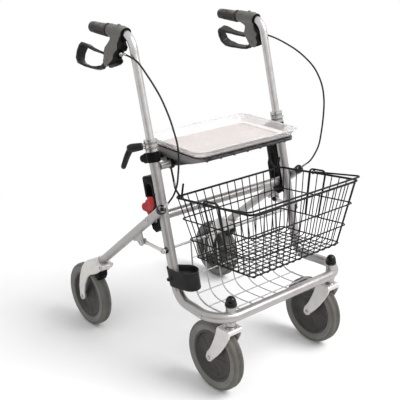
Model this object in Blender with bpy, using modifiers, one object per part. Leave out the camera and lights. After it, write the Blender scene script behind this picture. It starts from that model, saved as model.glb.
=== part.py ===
"""Folding rollator with seat, tray, wire basket, cable brakes and swivelling front wheels.

Metres, +Z up. The walker's front is -Y, its right side is -X, and the origin is on the ground
under the middle of the footprint.
"""
import math

import bmesh
import bpy
from mathutils import Matrix, Vector

# Driving dimensions
Y_SHIFT = -0.0387           # moves the whole part so that its footprint is centred on the origin
GAP = 0.0003                # air between neighbours that touch

LEG_X = 0.2335              # front legs, half spacing
LEG_Y = -0.054              # front leg axis at LEG_Z
LEG_Z = 0.400
LEG_TILT = math.radians(15.04)
LEG_R = 0.014
LEG_TOP = 0.2609            # along the leg from LEG_Z
LEG_BORE = 0.0117
SPLIT_Y = -0.175            # where the leg piece meets the front bar piece
BEND_Z = 0.2375
BAR_Y = -0.2725
BAR_Z = 0.243

HANDLE_R = 0.011
HANDLE_LOW = 0.047          # lower end, along the leg from LEG_Z
HANDLE_BEND_Z = 0.9257
GRIP_START = 0.190
GRIP_END = 0.276
GRIP_R = 0.015

WHEEL_R = 0.100
WHEEL_HALF = 0.018
HUB_R = 0.0727
REAR_X = 0.2634
REAR_Y = 0.3154
FRONT_X = 0.1931
FRONT_Y = -0.2037
CASTER_X = 0.194
CASTER_Y = -0.262
FORK_HALF = 0.0255          # front forks
FORK_INNER = 0.0193
REAR_FORK_HALF = 0.0310
REAR_FORK_INNER = 0.0245
AXLE_R = 0.004
STEM_R = 0.0068

REAR_LEG_X = 0.2607
REAR_LEG_R = 0.0125
REAR_TOP = (-0.0621, 0.4933)      # Y and Z of the upper end
REAR_END = (0.2488, 0.2305)       # Y and Z of the lower end
CROSSBAR = (-0.012, 0.451)        # Y and Z of the bar that the rear legs turn on
FRONT_PIN = (-0.062, 0.374)       # link pin on the front leg
REAR_PIN = (0.028, 0.373)         # link pin on the gusset
BRAKE_PIN = (0.2400, 0.2060)      # pivot of the brake shoe

SEAT_TUBE = (-0.003, 0.589)
SEAT_PIN = (0.040, 0.604)
SEAT_HALF = 0.184
LEAN = math.radians(21.5)         # brake lever plane leans outward about the grip
LEVER_PIN = (0.150, 0.078)        # along the grip, and below it in the leaned plane
CLAMP_TURN = math.radians(40)     # the clamp's bolt, square to the leg and turned back from straight out

BASKET_TOP_REAR = (0.200, -0.0425, 0.508)
BASKET_TOP_FRONT = (0.199, -0.335, 0.544)
BASKET_LOW_REAR = (0.165, -0.092, 0.333)
BASKET_LOW_FRONT = (0.165, -0.309, 0.354)
BASKET_WIRE = 0.0034
RIM_R = 0.003

SIN = math.sin(LEG_TILT)
COS = math.cos(LEG_TILT)


# Clear the scene and make the two collections
for old in list(bpy.data.objects):
    bpy.data.objects.remove(old)
PARTS = bpy.data.collections.new("folding_rollator")
bpy.context.scene.collection.children.link(PARTS)
WORK = bpy.data.collections.new("cutters")
bpy.context.scene.collection.children.link(WORK)


# Points
def at(x, y, z):
    """A point, with the footprint's shift."""
    return Vector((x, y + Y_SHIFT, z))


def leg_at(x, along, behind):
    """A point given along the front leg and behind it."""
    return at(x, LEG_Y + along * SIN + behind * COS, LEG_Z + along * COS - behind * SIN)


def rear_at(side, along, below=0.0):
    """A point given along the rear leg from its upper end, and below its axis."""
    dy = REAR_END[0] - REAR_TOP[0]
    dz = REAR_END[1] - REAR_TOP[1]
    length = math.hypot(dy, dz)
    dy /= length
    dz /= length
    return at(side * REAR_LEG_X, REAR_TOP[0] + dy * along + dz * below, REAR_TOP[1] + dz * along - dy * below)


def lean_at(side, y, below, out=0.0):
    """A point in the leaned plane of a brake: along the grip, below it, and outward from the plane."""
    x = LEG_X + below * math.sin(LEAN) + out * math.cos(LEAN)
    return at(side * x, y, HANDLE_BEND_Z - below * math.cos(LEAN) + out * math.sin(LEAN))


def rounded(points, radii, steps=5):
    """A path through the points with each inner corner rounded."""
    path = [Vector(points[0])]
    for before, corner, after, radius in zip(points, points[1:], points[2:], radii):
        a = (Vector(before) - Vector(corner)).normalized()
        b = (Vector(after) - Vector(corner)).normalized()
        half = a.angle(b) / 2
        reach = radius / math.tan(half)
        centre = Vector(corner) + (a + b).normalized() * (radius / math.sin(half))
        start = Vector(corner) + a * reach - centre
        end = Vector(corner) + b * reach - centre
        for step in range(steps + 1):
            path.append(centre + start.normalized().slerp(end.normalized(), step / steps) * radius)
    path.append(Vector(points[-1]))
    return path


def smooth_path(points, count):
    """Evenly spaced points on a smooth curve through the given ones."""
    dense = []
    ends = [2 * Vector(points[0]) - Vector(points[1])] + [Vector(p) for p in points]
    ends.append(2 * Vector(points[-1]) - Vector(points[-2]))
    for p0, p1, p2, p3 in zip(ends, ends[1:], ends[2:], ends[3:]):
        for step in range(12):
            t = step / 12
            dense.append(0.5 * (2 * p1 + (p2 - p0) * t + (2 * p0 - 5 * p1 + 4 * p2 - p3) * t * t
                                + (3 * p1 - p0 - 3 * p2 + p3) * t ** 3))
    dense.append(Vector(points[-1]))
    reach = [0.0]
    for a, b in zip(dense, dense[1:]):
        reach.append(reach[-1] + (b - a).length)
    path = []
    at_index = 0
    for step in range(count):
        want = reach[-1] * step / (count - 1)
        while at_index < len(dense) - 2 and reach[at_index + 1] < want:
            at_index += 1
        part = (want - reach[at_index]) / (reach[at_index + 1] - reach[at_index])
        path.append(dense[at_index].lerp(dense[at_index + 1], min(part, 1.0)))
    return path


def arc(centre, radius, start, end, steps):
    """Points of an arc, degrees."""
    turn = [math.radians(start + (end - start) * i / steps) for i in range(steps + 1)]
    return [(centre[0] + radius * math.cos(a), centre[1] + radius * math.sin(a)) for a in turn]


def capsule(a, b, radius, steps=6):
    """Outline of a bar with round ends."""
    heading = math.degrees(math.atan2(b[1] - a[1], b[0] - a[0]))
    return arc(b, radius, heading - 90, heading + 90, steps) + arc(a, radius, heading + 90, heading + 270,
                                                                   steps)


# Shapes
def scratch(mesh):
    """A working object that holds a mesh."""
    shape = bpy.data.objects.new("work", mesh)
    WORK.objects.link(shape)
    shape.hide_render = True
    shape.display_type = 'WIRE'
    return shape


def baked(shape):
    """The shape with its modifiers applied and its faces pointing out."""
    bpy.context.view_layer.update()
    evaluated = shape.evaluated_get(bpy.context.evaluated_depsgraph_get())
    mesh = bpy.data.meshes.new_from_object(evaluated)
    mesh.transform(shape.matrix_world)
    work = bmesh.new()
    work.from_mesh(mesh)
    bmesh.ops.remove_doubles(work, verts=work.verts, dist=0.00002)
    bmesh.ops.recalc_face_normals(work, faces=work.faces)
    work.to_mesh(mesh)
    work.free()
    bpy.data.objects.remove(shape)
    return scratch(mesh)


def from_bmesh(work):
    """A working object from bmesh data."""
    mesh = bpy.data.meshes.new("work")
    work.to_mesh(mesh)
    work.free()
    return scratch(mesh)


def rod(start, end, radius, sides=12, end_radius=None):
    """A straight bar or cone between two points."""
    line = Vector(end) - Vector(start)
    turn = Vector((0, 0, 1)).rotation_difference(line).to_matrix().to_4x4()
    place = Matrix.Translation((Vector(start) + Vector(end)) / 2) @ turn
    work = bmesh.new()
    bmesh.ops.create_cone(work, cap_ends=True, segments=sides, radius1=radius,
                          radius2=radius if end_radius is None else end_radius, depth=line.length,
                          matrix=place)
    return from_bmesh(work)


def block(low, high):
    """A box between two corners."""
    low = Vector(low)
    high = Vector(high)
    size = high - low
    work = bmesh.new()
    place = Matrix.Translation((low + high) / 2) @ Matrix.Diagonal((size.x, size.y, size.z, 1.0))
    bmesh.ops.create_cube(work, size=1.0, matrix=place)
    return from_bmesh(work)


def ball(centre, radius, sides=12):
    """A sphere."""
    work = bmesh.new()
    bmesh.ops.create_uvsphere(work, u_segments=sides, v_segments=sides // 2, radius=radius,
                              matrix=Matrix.Translation(centre))
    return from_bmesh(work)


def sheet(outline, origin, across, up, low, high):
    """A flat outline given in two directions, and thick from low to high along their normal."""
    across = Vector(across).normalized()
    up = Vector(up).normalized()
    normal = across.cross(up)
    curve = bpy.data.curves.new("outline", 'CURVE')
    curve.dimensions = '2D'
    curve.fill_mode = 'BOTH'
    curve.extrude = (high - low) / 2
    spline = curve.splines.new('POLY')
    spline.points.add(len(outline) - 1)
    for point, (a, b) in zip(spline.points, outline):
        point.co = (a, b, 0.0, 1.0)
    spline.use_cyclic_u = True
    shape = scratch(curve)
    turn = Matrix((across, up, normal)).transposed().to_4x4()
    shape.matrix_world = Matrix.Translation(Vector(origin) + normal * (low + high) / 2) @ turn
    return baked(shape)


def side_sheet(outline, x_low, x_high):
    """An outline in Y and Z, thick along X."""
    return sheet(outline, (0, Y_SHIFT, 0), (0, 1, 0), (0, 0, 1), min(x_low, x_high), max(x_low, x_high))


def leg_sheet(outline, x_low, x_high):
    """An outline behind and along the front leg, thick along X."""
    return sheet(outline, at(0, LEG_Y, LEG_Z), (0, COS, -SIN), (0, SIN, COS), min(x_low, x_high),
                 max(x_low, x_high))


def tube(path, radius, resolution=2):
    """A bent bar along a path."""
    curve = bpy.data.curves.new("tube", 'CURVE')
    curve.dimensions = '3D'
    curve.bevel_depth = radius
    curve.bevel_resolution = resolution
    curve.use_fill_caps = True
    spline = curve.splines.new('POLY')
    spline.points.add(len(path) - 1)
    for point, place in zip(spline.points, path):
        point.co = (place[0], place[1], place[2], 1.0)
    return baked(scratch(curve))


def turned(profile, origin, axis, steps=24, closed=False):
    """A profile of (radius, height) pairs, outer side from top to bottom, turned about an axis."""
    mesh = bpy.data.meshes.new("profile")
    edges = [(i, i + 1) for i in range(len(profile) - 1)]
    if closed:
        edges.append((len(profile) - 1, 0))
    mesh.from_pydata([(r, 0.0, h) for r, h in profile], edges, [])
    shape = scratch(mesh)
    screw = shape.modifiers.new("turn", 'SCREW')
    screw.steps = steps
    screw.render_steps = steps
    screw.use_merge_vertices = True
    screw.merge_threshold = 0.00002
    turn = Vector((0, 0, 1)).rotation_difference(Vector(axis)).to_matrix().to_4x4()
    shape.matrix_world = Matrix.Translation(Vector(origin)) @ turn
    return baked(shape)


def combine(shape, others, operation):
    """Boolean of a shape with others, applied."""
    for other in others:
        change = shape.modifiers.new("combine", 'BOOLEAN')
        change.operation = operation
        change.solver = 'EXACT'
        change.object = other
        result = baked(shape)
        bpy.data.objects.remove(other)
        shape = result
    return shape


def join(shape, *others):
    return combine(shape, others, 'UNION')


def cut(shape, *others):
    return combine(shape, others, 'DIFFERENCE')


# Materials
def material(name, colour, roughness, metallic=0.0):
    """A plain surface."""
    look = bpy.data.materials.new(name)
    look.use_nodes = True
    shader = look.node_tree.nodes["Principled BSDF"]
    shader.inputs["Base Color"].default_value = (*colour, 1.0)
    shader.inputs["Roughness"].default_value = roughness
    shader.inputs["Metallic"].default_value = metallic
    return look


FRAME_PAINT = material("champagne_paint", (0.43, 0.40, 0.42), 0.35, 0.6)
SATIN = material("satin_tube", (0.60, 0.60, 0.61), 0.28, 0.9)
FORK_PAINT = material("fork_paint", (0.60, 0.60, 0.61), 0.35, 0.5)
BLACK = material("black_plastic", (0.022, 0.022, 0.024), 0.45)
RUBBER = material("grip_rubber", (0.045, 0.045, 0.047), 0.7)
TYRE = material("grey_tyre", (0.10, 0.10, 0.105), 0.75)
HUB = material("grey_hub", (0.055, 0.055, 0.06), 0.5)
RED = material("red_plastic", (0.55, 0.02, 0.02), 0.4)
WIRE_BLACK = material("coated_wire", (0.02, 0.02, 0.022), 0.4)
WIRE_GREY = material("plated_wire", (0.45, 0.45, 0.46), 0.35, 0.9)
CLEAR = material("clear_tray", (0.85, 0.83, 0.84), 0.08)
STEEL = material("bright_steel", (0.62, 0.62, 0.63), 0.3, 1.0)

HOLDERS = {}


def holder(name, place, parent=None):
    """An empty on a joint's axis that carries the pieces that move with it."""
    pivot = bpy.data.objects.new(name, None)
    PARTS.objects.link(pivot)
    pivot.location = place
    if parent is not None:
        pivot.parent = parent
        pivot.location = Vector(place) - HOLDERS[parent.name]
    HOLDERS[name] = Vector(place)
    return pivot


def finish(shape, name, look, carrier, origin=None):
    """Name a piece, give it its surface, and place it under its carrier."""
    place = Vector(origin) if origin is not None else HOLDERS[carrier.name].copy()
    shape.data.transform(Matrix.Translation(-place))
    shape.data.materials.clear()
    shape.data.materials.append(look)
    shape.data.shade_smooth()
    shape.data.set_sharp_from_angle(angle=math.radians(35))
    WORK.objects.unlink(shape)
    PARTS.objects.link(shape)
    shape.hide_render = False
    shape.display_type = 'TEXTURED'
    shape.name = name
    shape.data.name = name
    shape.parent = carrier
    shape.location = place - HOLDERS[carrier.name]
    return shape


def mirrored(shape):
    """The same shape on the other side."""
    mesh = shape.data.copy()
    mesh.transform(Matrix.Diagonal((-1, 1, 1, 1)))
    mesh.flip_normals()
    return scratch(mesh)


SIDES = ((-1, "right"), (1, "left"))


# Front frame
def front_leg_path(side):
    """Axis of a front leg: straight, then bent forward into the side tube."""
    foot = at(side * LEG_X, LEG_Y + (BEND_Z - LEG_Z) * SIN / COS, BEND_Z)
    end = at(side * 0.2405, SPLIT_Y, 0.24156)
    return rounded([leg_at(side * LEG_X, LEG_TOP, 0), foot, end], [0.05], 6)


def front_leg(side):
    """One front leg: straight tube, bottom bend and half of the side tube, with the link's pin."""
    shape = tube(front_leg_path(side), LEG_R, 4)
    shape = cut(shape, rod(leg_at(side * LEG_X, -0.100, 0), leg_at(side * LEG_X, LEG_TOP + 0.02, 0),
                           LEG_BORE))
    pin = [rod(at(side * 0.2460, *FRONT_PIN), at(side * 0.2532, *FRONT_PIN), 0.0080, 14),
           rod(at(side * 0.2500, *FRONT_PIN), at(side * 0.2600, *FRONT_PIN), 0.0034, 10),
           rod(at(side * 0.2580, *FRONT_PIN), at(side * 0.2625, *FRONT_PIN), 0.0065, 8)]
    return join(shape, *pin)


def base_bar():
    """The front bar with both corners and the two upright caster sockets."""
    points = [at(-0.2405, SPLIT_Y - 0.0009, 0.24158), at(-0.2475, BAR_Y, BAR_Z), at(0.2475, BAR_Y, BAR_Z),
              at(0.2405, SPLIT_Y - 0.0009, 0.24158)]
    shape = tube(rounded(points, [0.07, 0.07], 7), LEG_R, 4)
    for side, _ in SIDES:
        shape = join(shape, rod(at(side * CASTER_X, CASTER_Y, 0.216), at(side * CASTER_X, CASTER_Y, 0.272),
                                0.0135, 18))
    for side, _ in SIDES:
        shape = cut(shape, rod(at(side * CASTER_X, CASTER_Y, 0.200), at(side * CASTER_X, CASTER_Y, 0.262),
                               STEM_R + 0.0004))
    return shape


def dome_cap(side):
    """Cap on a caster socket."""
    profile = [(0.0, 0.0274), (0.005, 0.0268), (0.010, 0.0235), (0.0138, 0.0165), (0.0152, 0.008),
               (0.0160, 0.006),
               (0.0160, 0.0), (0.0, 0.0)]
    return turned(profile, at(side * CASTER_X, CASTER_Y, 0.2723), (0, 0, 1), 16)


def wire_grid(corners, columns, rows, wire, rows_at=None, columns_at=None):
    """A net of wires over a four sided patch: corners run low-left, low-right, high-right, high-left."""
    a, b, c, d = [Vector(p) for p in corners]
    work = bmesh.new()
    bmesh.ops.create_grid(work, x_segments=columns, y_segments=rows, size=0.5)
    for vertex in work.verts:
        s = vertex.co.x + 0.5
        t = vertex.co.y + 0.5
        low = a.lerp(b, s)
        high = d.lerp(c, s)
        vertex.co = low.lerp(high, t)
    shape = from_bmesh(work)
    net = shape.modifiers.new("net", 'WIREFRAME')
    net.thickness = wire
    net.use_even_offset = False
    net.use_boundary = True
    return baked(shape)


def folded_grid(x_half, columns, path, wire):
    """A net of wires that follows a path in Y and Z."""
    work = bmesh.new()
    bmesh.ops.create_grid(work, x_segments=columns, y_segments=len(path) - 1, size=0.5)
    for vertex in work.verts:
        row = round((vertex.co.y + 0.5) * (len(path) - 1))
        vertex.co = at(vertex.co.x * 2 * x_half, path[row][0], path[row][1])
    shape = from_bmesh(work)
    net = shape.modifiers.new("net", 'WIREFRAME')
    net.thickness = wire
    net.use_even_offset = False
    net.use_boundary = True
    return baked(shape)


def shelf_back():
    """The back of the wire shelf with its cross rod between the legs."""
    rod_y = LEG_Y + (0.3755 - LEG_Z) * SIN / COS
    net = folded_grid(0.165, 7, [(-0.0640, 0.3755), (-0.0710, 0.312), (-0.0890, 0.242)], 0.0034)
    return join(net, rod(at(-0.2190, rod_y, 0.3755), at(0.2190, rod_y, 0.3755), 0.0035, 10))


def shelf_floor():
    """The floor of the wire shelf, from the back to the front bar."""
    path = [(-0.0908, 0.2380), (-0.1080, 0.2165), (-0.1450, 0.2080), (-0.1950, 0.2120), (-0.2350, 0.2200),
            (-0.2598, 0.2333)]
    return folded_grid(0.1645, 7, path, 0.0034)


def seat_tube():
    """The tube between the legs under the seat."""
    return rod(at(-0.2192, *SEAT_TUBE), at(0.2192, *SEAT_TUBE), 0.010, 16)


def clamp_way(side, turn=CLAMP_TURN):
    """Direction square to the leg, outward and turned back: that of the clamp's bolt."""
    return Vector((side * math.cos(turn), math.sin(turn) * COS, -math.sin(turn) * SIN))


def clamp_collar(side):
    """Collar that clamps the handle tube in the leg's top, with the boss of its bolt."""
    x = side * LEG_X
    root = leg_at(x, 0.2560, 0)
    shape = rod(leg_at(x, 0.2375, 0), leg_at(x, 0.2720, 0), 0.0190, 16)
    shape = join(shape, rod(root + clamp_way(side) * 0.010, root + clamp_way(side) * 0.0215, 0.0085, 14))
    if side > 0:
        way = clamp_way(side, math.radians(-12))
        shape = join(shape, rod(root + way * 0.010, root + way * 0.0225, 0.0062, 14))
    shape = cut(shape, rod(leg_at(x, 0.2300, 0), leg_at(x, LEG_TOP + GAP, 0), LEG_R + 0.0008, 16))
    shape = cut(shape, rod(leg_at(x, 0.2550, 0), leg_at(x, 0.2800, 0), HANDLE_R + 0.0006))
    return shape


def clamp_lever(side):
    """T lever of the clamp: ribbed head on the bolt's axis and a tapering arm."""
    root = leg_at(side * LEG_X, 0.2560, 0)
    outward = clamp_way(side)
    shape = rod(root + outward * 0.0219, root + outward * 0.0545, 0.0085, 14, 0.0110)
    tip = root + outward * 0.0760 + Vector((0, 0, -0.0510))
    bend = root + outward * 0.0560 + Vector((0, 0, -0.002))
    shape = join(shape, ball(root + outward * 0.0545, 0.0109, 10))
    return join(shape, rod(bend, tip, 0.0082, 12, 0.0066))


def seat_bracket(side):
    """Collar under the clamp with the ear that carries the seat's pin."""
    x = side * LEG_X
    shape = rod(leg_at(x, 0.2098, 0), leg_at(x, 0.2370, 0), 0.0185, 16)
    ear = arc((0.0372, 0.2218), 0.0098, -80, 80, 6)
    ear += [(0.0200, 0.2370), (0.0, 0.2370), (0.0, 0.2110), (0.0200, 0.2098)]
    shape = join(shape, leg_sheet(ear, side * 0.2040, side * 0.2470))
    shape = cut(shape, rod(leg_at(x, 0.1950, 0), leg_at(x, 0.2500, 0), LEG_R + 0.0008, 16))
    return cut(shape, rod(at(side * 0.195, *SEAT_PIN), at(side * 0.232, *SEAT_PIN), 0.0055, 14))


def guide(side):
    """Rail behind the leg whose slot the cross bar slides in."""
    x = side * LEG_X
    outer = [(0.004, 0.030), (0.030, 0.020), (0.044, 0.030), (0.0565, 0.052), (0.0565, 0.118),
             (0.0500, 0.132),
             (0.0500, 0.170), (0.044, 0.175), (0.004, 0.175)]
    shape = leg_sheet(outer, x - 0.0138, x + 0.0138)
    slot = arc((0.0273, 0.0601), 0.0131, 180, 360, 8) + arc((0.0273, 0.1415), 0.0131, 0, 180, 8)
    slot += [(-0.020, 0.1415), (-0.020, 0.0601)]
    shape = cut(shape, leg_sheet(slot, x - 0.030, x + 0.030))
    shape = cut(shape, rod(leg_at(x, 0.0, 0), leg_at(x, 0.220, 0), LEG_R + 0.0008, 16))
    if side < 0:
        recess = [(0.0408, 0.062), (0.070, 0.062), (0.070, 0.116), (0.0408, 0.116)]
        shape = cut(shape, leg_sheet(recess, x - 0.030, x - 0.0060))
    return shape


def red_latch():
    """Fold latch on the right guide: a thumb lobe behind and a tongue on the outer face."""
    x = -LEG_X
    plate = [(0.0425, 0.0660), (0.0500, 0.0640), (0.0560, 0.0690), (0.0600, 0.0760)]
    plate += arc((0.0690, 0.0890), 0.0105, -60, 60, 5) + [(0.0600, 0.1030), (0.0520, 0.1110),
                                                          (0.0430, 0.1080)]
    pad = arc((0.0690, 0.0890), 0.0120, -80, 80, 6) + [(0.0574, 0.1020), (0.0574, 0.0765)]
    return join(leg_sheet(plate, x - 0.0135, x - 0.0064), leg_sheet(pad, x - 0.0125, x + 0.0100))


def cane_holder():
    """Open cup for a cane, clamped on the right leg."""
    centre = (-0.2080, -0.1190)
    shape = rod(at(*centre, 0.2680), at(*centre, 0.3250), 0.0290, 18, 0.0315)
    collar = rod(leg_at(-LEG_X, -0.118, 0), leg_at(-LEG_X, -0.086, 0), 0.0180, 18)
    shape = join(shape, collar)
    shape = join(shape, rod(at(-0.2335, -0.083, 0.2985), at(-0.2595, -0.083, 0.2985), 0.0055, 12))
    shape = cut(shape, rod(at(*centre, 0.2710), at(*centre, 0.3400), 0.0262, 18, 0.0290))
    return cut(shape, tube(front_leg_path(-1), LEG_R + 0.0008, 4))


def basket_hanger(side):
    """Rod from the seat tube that hooks under the basket's rear rim, with its free end up in front of it."""
    x = side * 0.1815
    rim = (BASKET_TOP_REAR[1], BASKET_TOP_REAR[2])
    hook = [at(x, y, z) for y, z in arc(rim, 0.0066, 20, -150, 8)]
    path = [at(x, -0.004, 0.5780), at(x, -0.0215, 0.5230)] + hook + [at(x, -0.0560, 0.5460)]
    shape = tube(path, 0.0024, 2)
    ring = rod(at(x - 0.005, *SEAT_TUBE), at(x + 0.005, *SEAT_TUBE), 0.0132, 12)
    shape = join(shape, ring)
    return cut(shape, rod(at(x - 0.02, *SEAT_TUBE), at(x + 0.02, *SEAT_TUBE), 0.0106, 12))


# Wheels and forks
def tyre(centre):
    """Grey tyre with round shoulders."""
    half = [(0.0739, 0.0150), (0.0860, WHEEL_HALF), (0.0955, 0.0155), (WHEEL_R, 0.0070)]
    profile = half + [(r, -h) for r, h in reversed(half)]
    return turned(profile, centre, (1, 0, 0), 24, True)


def hub(centre):
    """Dark hub: boss, web and rim."""
    half = [(AXLE_R + 0.0005, 0.0188), (0.0140, 0.0180), (0.0150, 0.0070), (0.0630, 0.0045), (HUB_R, 0.0150)]
    profile = half + [(r, -h) for r, h in reversed(half)]
    return turned(profile, centre, (1, 0, 0), 14, True)


def fork(outline, centre, extra, half, inner):
    """Two cheeks with a bridge: an outline cut to clear the wheel, with its axle."""
    x = centre[0]
    axle = (centre[1], centre[2])
    shape = side_sheet(outline, x - half, x + half)
    for piece in extra:
        shape = join(shape, piece)
    shape = cut(shape, rod(at(x - inner, *axle), at(x + inner, *axle), WHEEL_R + 0.0060, 20))
    shape = join(shape, rod(at(x - half - 0.003, *axle), at(x + half + 0.003, *axle), AXLE_R, 10))
    return shape


def caster_fork(side):
    """Swivelling fork with its stem and washer."""
    outline = ([(-0.2352, 0.2105), (-0.2800, 0.2105), (-0.2865, 0.2040), (-0.2850, 0.1900), (-0.2700, 0.1740),
                (-0.2480, 0.1560), (-0.2310, 0.1330), (-0.2205, 0.1120)]
               + arc((FRONT_Y, 0.100), 0.0125, 190, 360, 6)
               + [(-0.1905, 0.1200), (-0.1930, 0.1500), (-0.2030, 0.1800), (-0.2180, 0.2000)])
    stem = rod(at(side * CASTER_X, CASTER_Y, 0.205), at(side * CASTER_X, CASTER_Y, 0.258), STEM_R, 16)
    washer = rod(at(side * CASTER_X, CASTER_Y, 0.2090), at(side * CASTER_X, CASTER_Y, 0.2145), 0.0165, 18)
    return fork(outline, (side * FRONT_X, FRONT_Y, 0.100), [washer, stem], FORK_HALF, FORK_INNER)


def rear_fork(side):
    """Fixed fork on the rear leg's end: a clamp in front, a crown, and cheeks that spread to the axle."""
    outline = ([(0.2520, 0.2440), (0.2380, 0.2330), (0.2250, 0.2390), (0.2130, 0.2370), (0.2090, 0.2270),
                (0.2180, 0.2200),
                (0.2330, 0.2060), (0.2440, 0.1990), (0.2660, 0.1900), (0.2810, 0.1740), (0.2960, 0.1450),
                (0.3030, 0.1150)]
               + arc((REAR_Y, 0.100), 0.0125, 190, 360, 6)
               + [(0.3300, 0.1300), (0.3230, 0.1660), (0.3080, 0.2040), (0.2900, 0.2260), (0.2700, 0.2400)])
    length = math.hypot(REAR_END[0] - REAR_TOP[0], REAR_END[1] - REAR_TOP[1])
    socket = rod(rear_at(side, length - 0.014), rear_at(side, length + 0.006), 0.0170, 16)
    boss = rod(at(side * (REAR_X - 0.019), 0.2170, 0.2300), at(side * (REAR_X + 0.019), 0.2170, 0.2300),
               0.0085, 14)
    centre = (side * REAR_X, REAR_Y, 0.100)
    shape = fork(outline, centre, [socket, boss], REAR_FORK_HALF, REAR_FORK_INNER)
    plan = [(-0.0200, 0.1900), (-0.0205, 0.2300), (-0.0235, 0.2500), (-0.0330, 0.2800), (-0.0360, 0.3500),
            (0.0360, 0.3500), (0.0330, 0.2800), (0.0235, 0.2500), (0.0205, 0.2300), (0.0200, 0.1900)]
    waist = sheet(plan, at(side * REAR_X, 0, 0), (1, 0, 0), (0, 1, 0), 0.050, 0.300)
    shape = combine(shape, [waist], 'INTERSECT')
    for face in (1, -1):
        inner = at(side * REAR_X + face * 0.0200, REAR_Y, 0.100)
        outer = at(side * REAR_X + face * 0.0260, REAR_Y, 0.100)
        shape = join(shape, rod(inner, outer, 0.0090, 14))
    bore = rod(rear_at(side, length - 0.060), rear_at(side, length + GAP), REAR_LEG_R + 0.0006, 16)
    pin = rod(at(side * (REAR_X - 0.0205), *BRAKE_PIN), at(side * (REAR_X + 0.0205), *BRAKE_PIN), 0.0036, 12)
    pocket = [(0.2200, 0.1700), (0.2200, 0.2060), (0.2330, 0.2127), (0.2520, 0.2127), (0.2760, 0.2040),
              (0.2860, 0.1980),
              (0.2860, 0.1700)]
    room = side_sheet(pocket, side * REAR_X - 0.0168, side * REAR_X + 0.0168)
    return cut(shape, bore, room, pin)


def brake_shoe(side):
    """Brake shoe under the crown, with its pin: the cable lifts its front, its rear presses on the tyre."""
    centre = (REAR_Y, 0.100)
    outline = arc(centre, 0.1032, 134, 112, 6)
    outline += [(0.2690, 0.2010), (0.2500, 0.2112), (0.2390, 0.2112), (0.2345, 0.2060), (0.2345, 0.1900)]
    shape = side_sheet(outline, side * REAR_X - 0.0155, side * REAR_X + 0.0155)
    return join(shape, rod(at(side * REAR_X - 0.0200, *BRAKE_PIN), at(side * REAR_X + 0.0200, *BRAKE_PIN),
                           0.0031, 12))


# Rear frame
def rear_leg(side):
    """Rear leg with its gusset plate, and the hole that the cross bar's end turns in."""
    length = math.hypot(REAR_END[0] - REAR_TOP[0], REAR_END[1] - REAR_TOP[1])
    shape = rod(rear_at(side, 0.006), rear_at(side, length), REAR_LEG_R, 16)
    plate = [(0.0300, 0.4140), (0.0800, 0.3720), (0.0640, 0.3690), (0.0460, 0.3630), (0.0280, 0.3620),
             (0.0190, 0.3660),
             (0.0175, 0.3760), (0.0210, 0.3900)]
    shape = join(shape, side_sheet(plate, side * 0.2612, side * 0.2652))
    shape = join(shape, rod(at(side * 0.2640, *REAR_PIN), at(side * 0.2690, *REAR_PIN), 0.0062, 8))
    return cut(shape, rod(at(side * 0.2400, *CROSSBAR), at(side * 0.2800, *CROSSBAR), 0.0054, 14))


def end_plug(side):
    """Plug in the rear leg's upper end, with the cable's inlet."""
    shape = rod(rear_at(side, -0.0065), rear_at(side, 0.0057), 0.0132, 18)
    return join(shape, rod(rear_at(side, -0.0120), rear_at(side, -0.0040), 0.0050, 12))


def crossbar():
    """Bar behind the front legs, with a pin at each end for the rear legs."""
    shape = rod(at(-0.2479, *CROSSBAR), at(0.2479, *CROSSBAR), 0.0125, 16)
    return join(shape, rod(at(-0.2750, *CROSSBAR), at(0.2750, *CROSSBAR), 0.0050, 14))


def link(side):
    """Short link from the front leg's pin to the gusset, with flattened ends."""
    line = (Vector(REAR_PIN) - Vector(FRONT_PIN)).normalized()
    low = side * 0.2536
    high = side * 0.2576
    near = Vector(FRONT_PIN) + line * 0.020
    far = Vector(REAR_PIN) - line * 0.020
    shape = side_sheet(capsule(FRONT_PIN, near, 0.0085, 4), low, high)
    shape = join(shape, rod(at(side * 0.2556, *(Vector(FRONT_PIN) + line * 0.016)),
                            at(side * 0.2556, *(Vector(REAR_PIN) - line * 0.016)), 0.0050, 10))
    shape = join(shape, side_sheet(capsule(far, REAR_PIN, 0.0085, 4), low, high))
    shape = cut(shape, rod(at(side * 0.25, *FRONT_PIN), at(side * 0.26, *FRONT_PIN), 0.0038, 12))
    return join(shape, rod(at(side * 0.2495, *REAR_PIN), at(side * 0.2600, *REAR_PIN), 0.0070, 12))


# Handles and brakes
def handle_path(side):
    """Axis of a handle tube: up the leg, then bent back into the grip."""
    x = side * LEG_X
    top = at(x, LEG_Y + (HANDLE_BEND_Z - LEG_Z) * SIN / COS, HANDLE_BEND_Z)
    return rounded([leg_at(x, HANDLE_LOW, 0), top, at(x, GRIP_END - 0.006, HANDLE_BEND_Z)], [0.05], 7)


def handle_tube(side):
    """Tube that telescopes in the leg and bends back into the grip."""
    return tube(handle_path(side), HANDLE_R, 4)


def grip(side):
    """Rubber grip with finger ribs and a flange."""
    profile = [(0.0, 0.0860), (0.0120, 0.0855), (0.0148, 0.0800), (0.0151, 0.0730)]
    for rib in range(3):
        profile += [(0.0142, 0.0650 - rib * 0.017), (0.0154 + rib * 0.0006, 0.0570 - rib * 0.017)]
    profile += [(0.0148, 0.0120), (0.0182, 0.0070), (0.0182, 0.0), (0.0, 0.0)]
    shape = turned(profile, at(side * LEG_X, GRIP_START, HANDLE_BEND_Z), (0, 1, 0), 12)
    bore = rod(at(side * LEG_X, GRIP_START - 0.02, HANDLE_BEND_Z),
               at(side * LEG_X, GRIP_END - 0.0055, HANDLE_BEND_Z),
               HANDLE_R + 0.0007)
    return cut(shape, bore)


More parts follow.
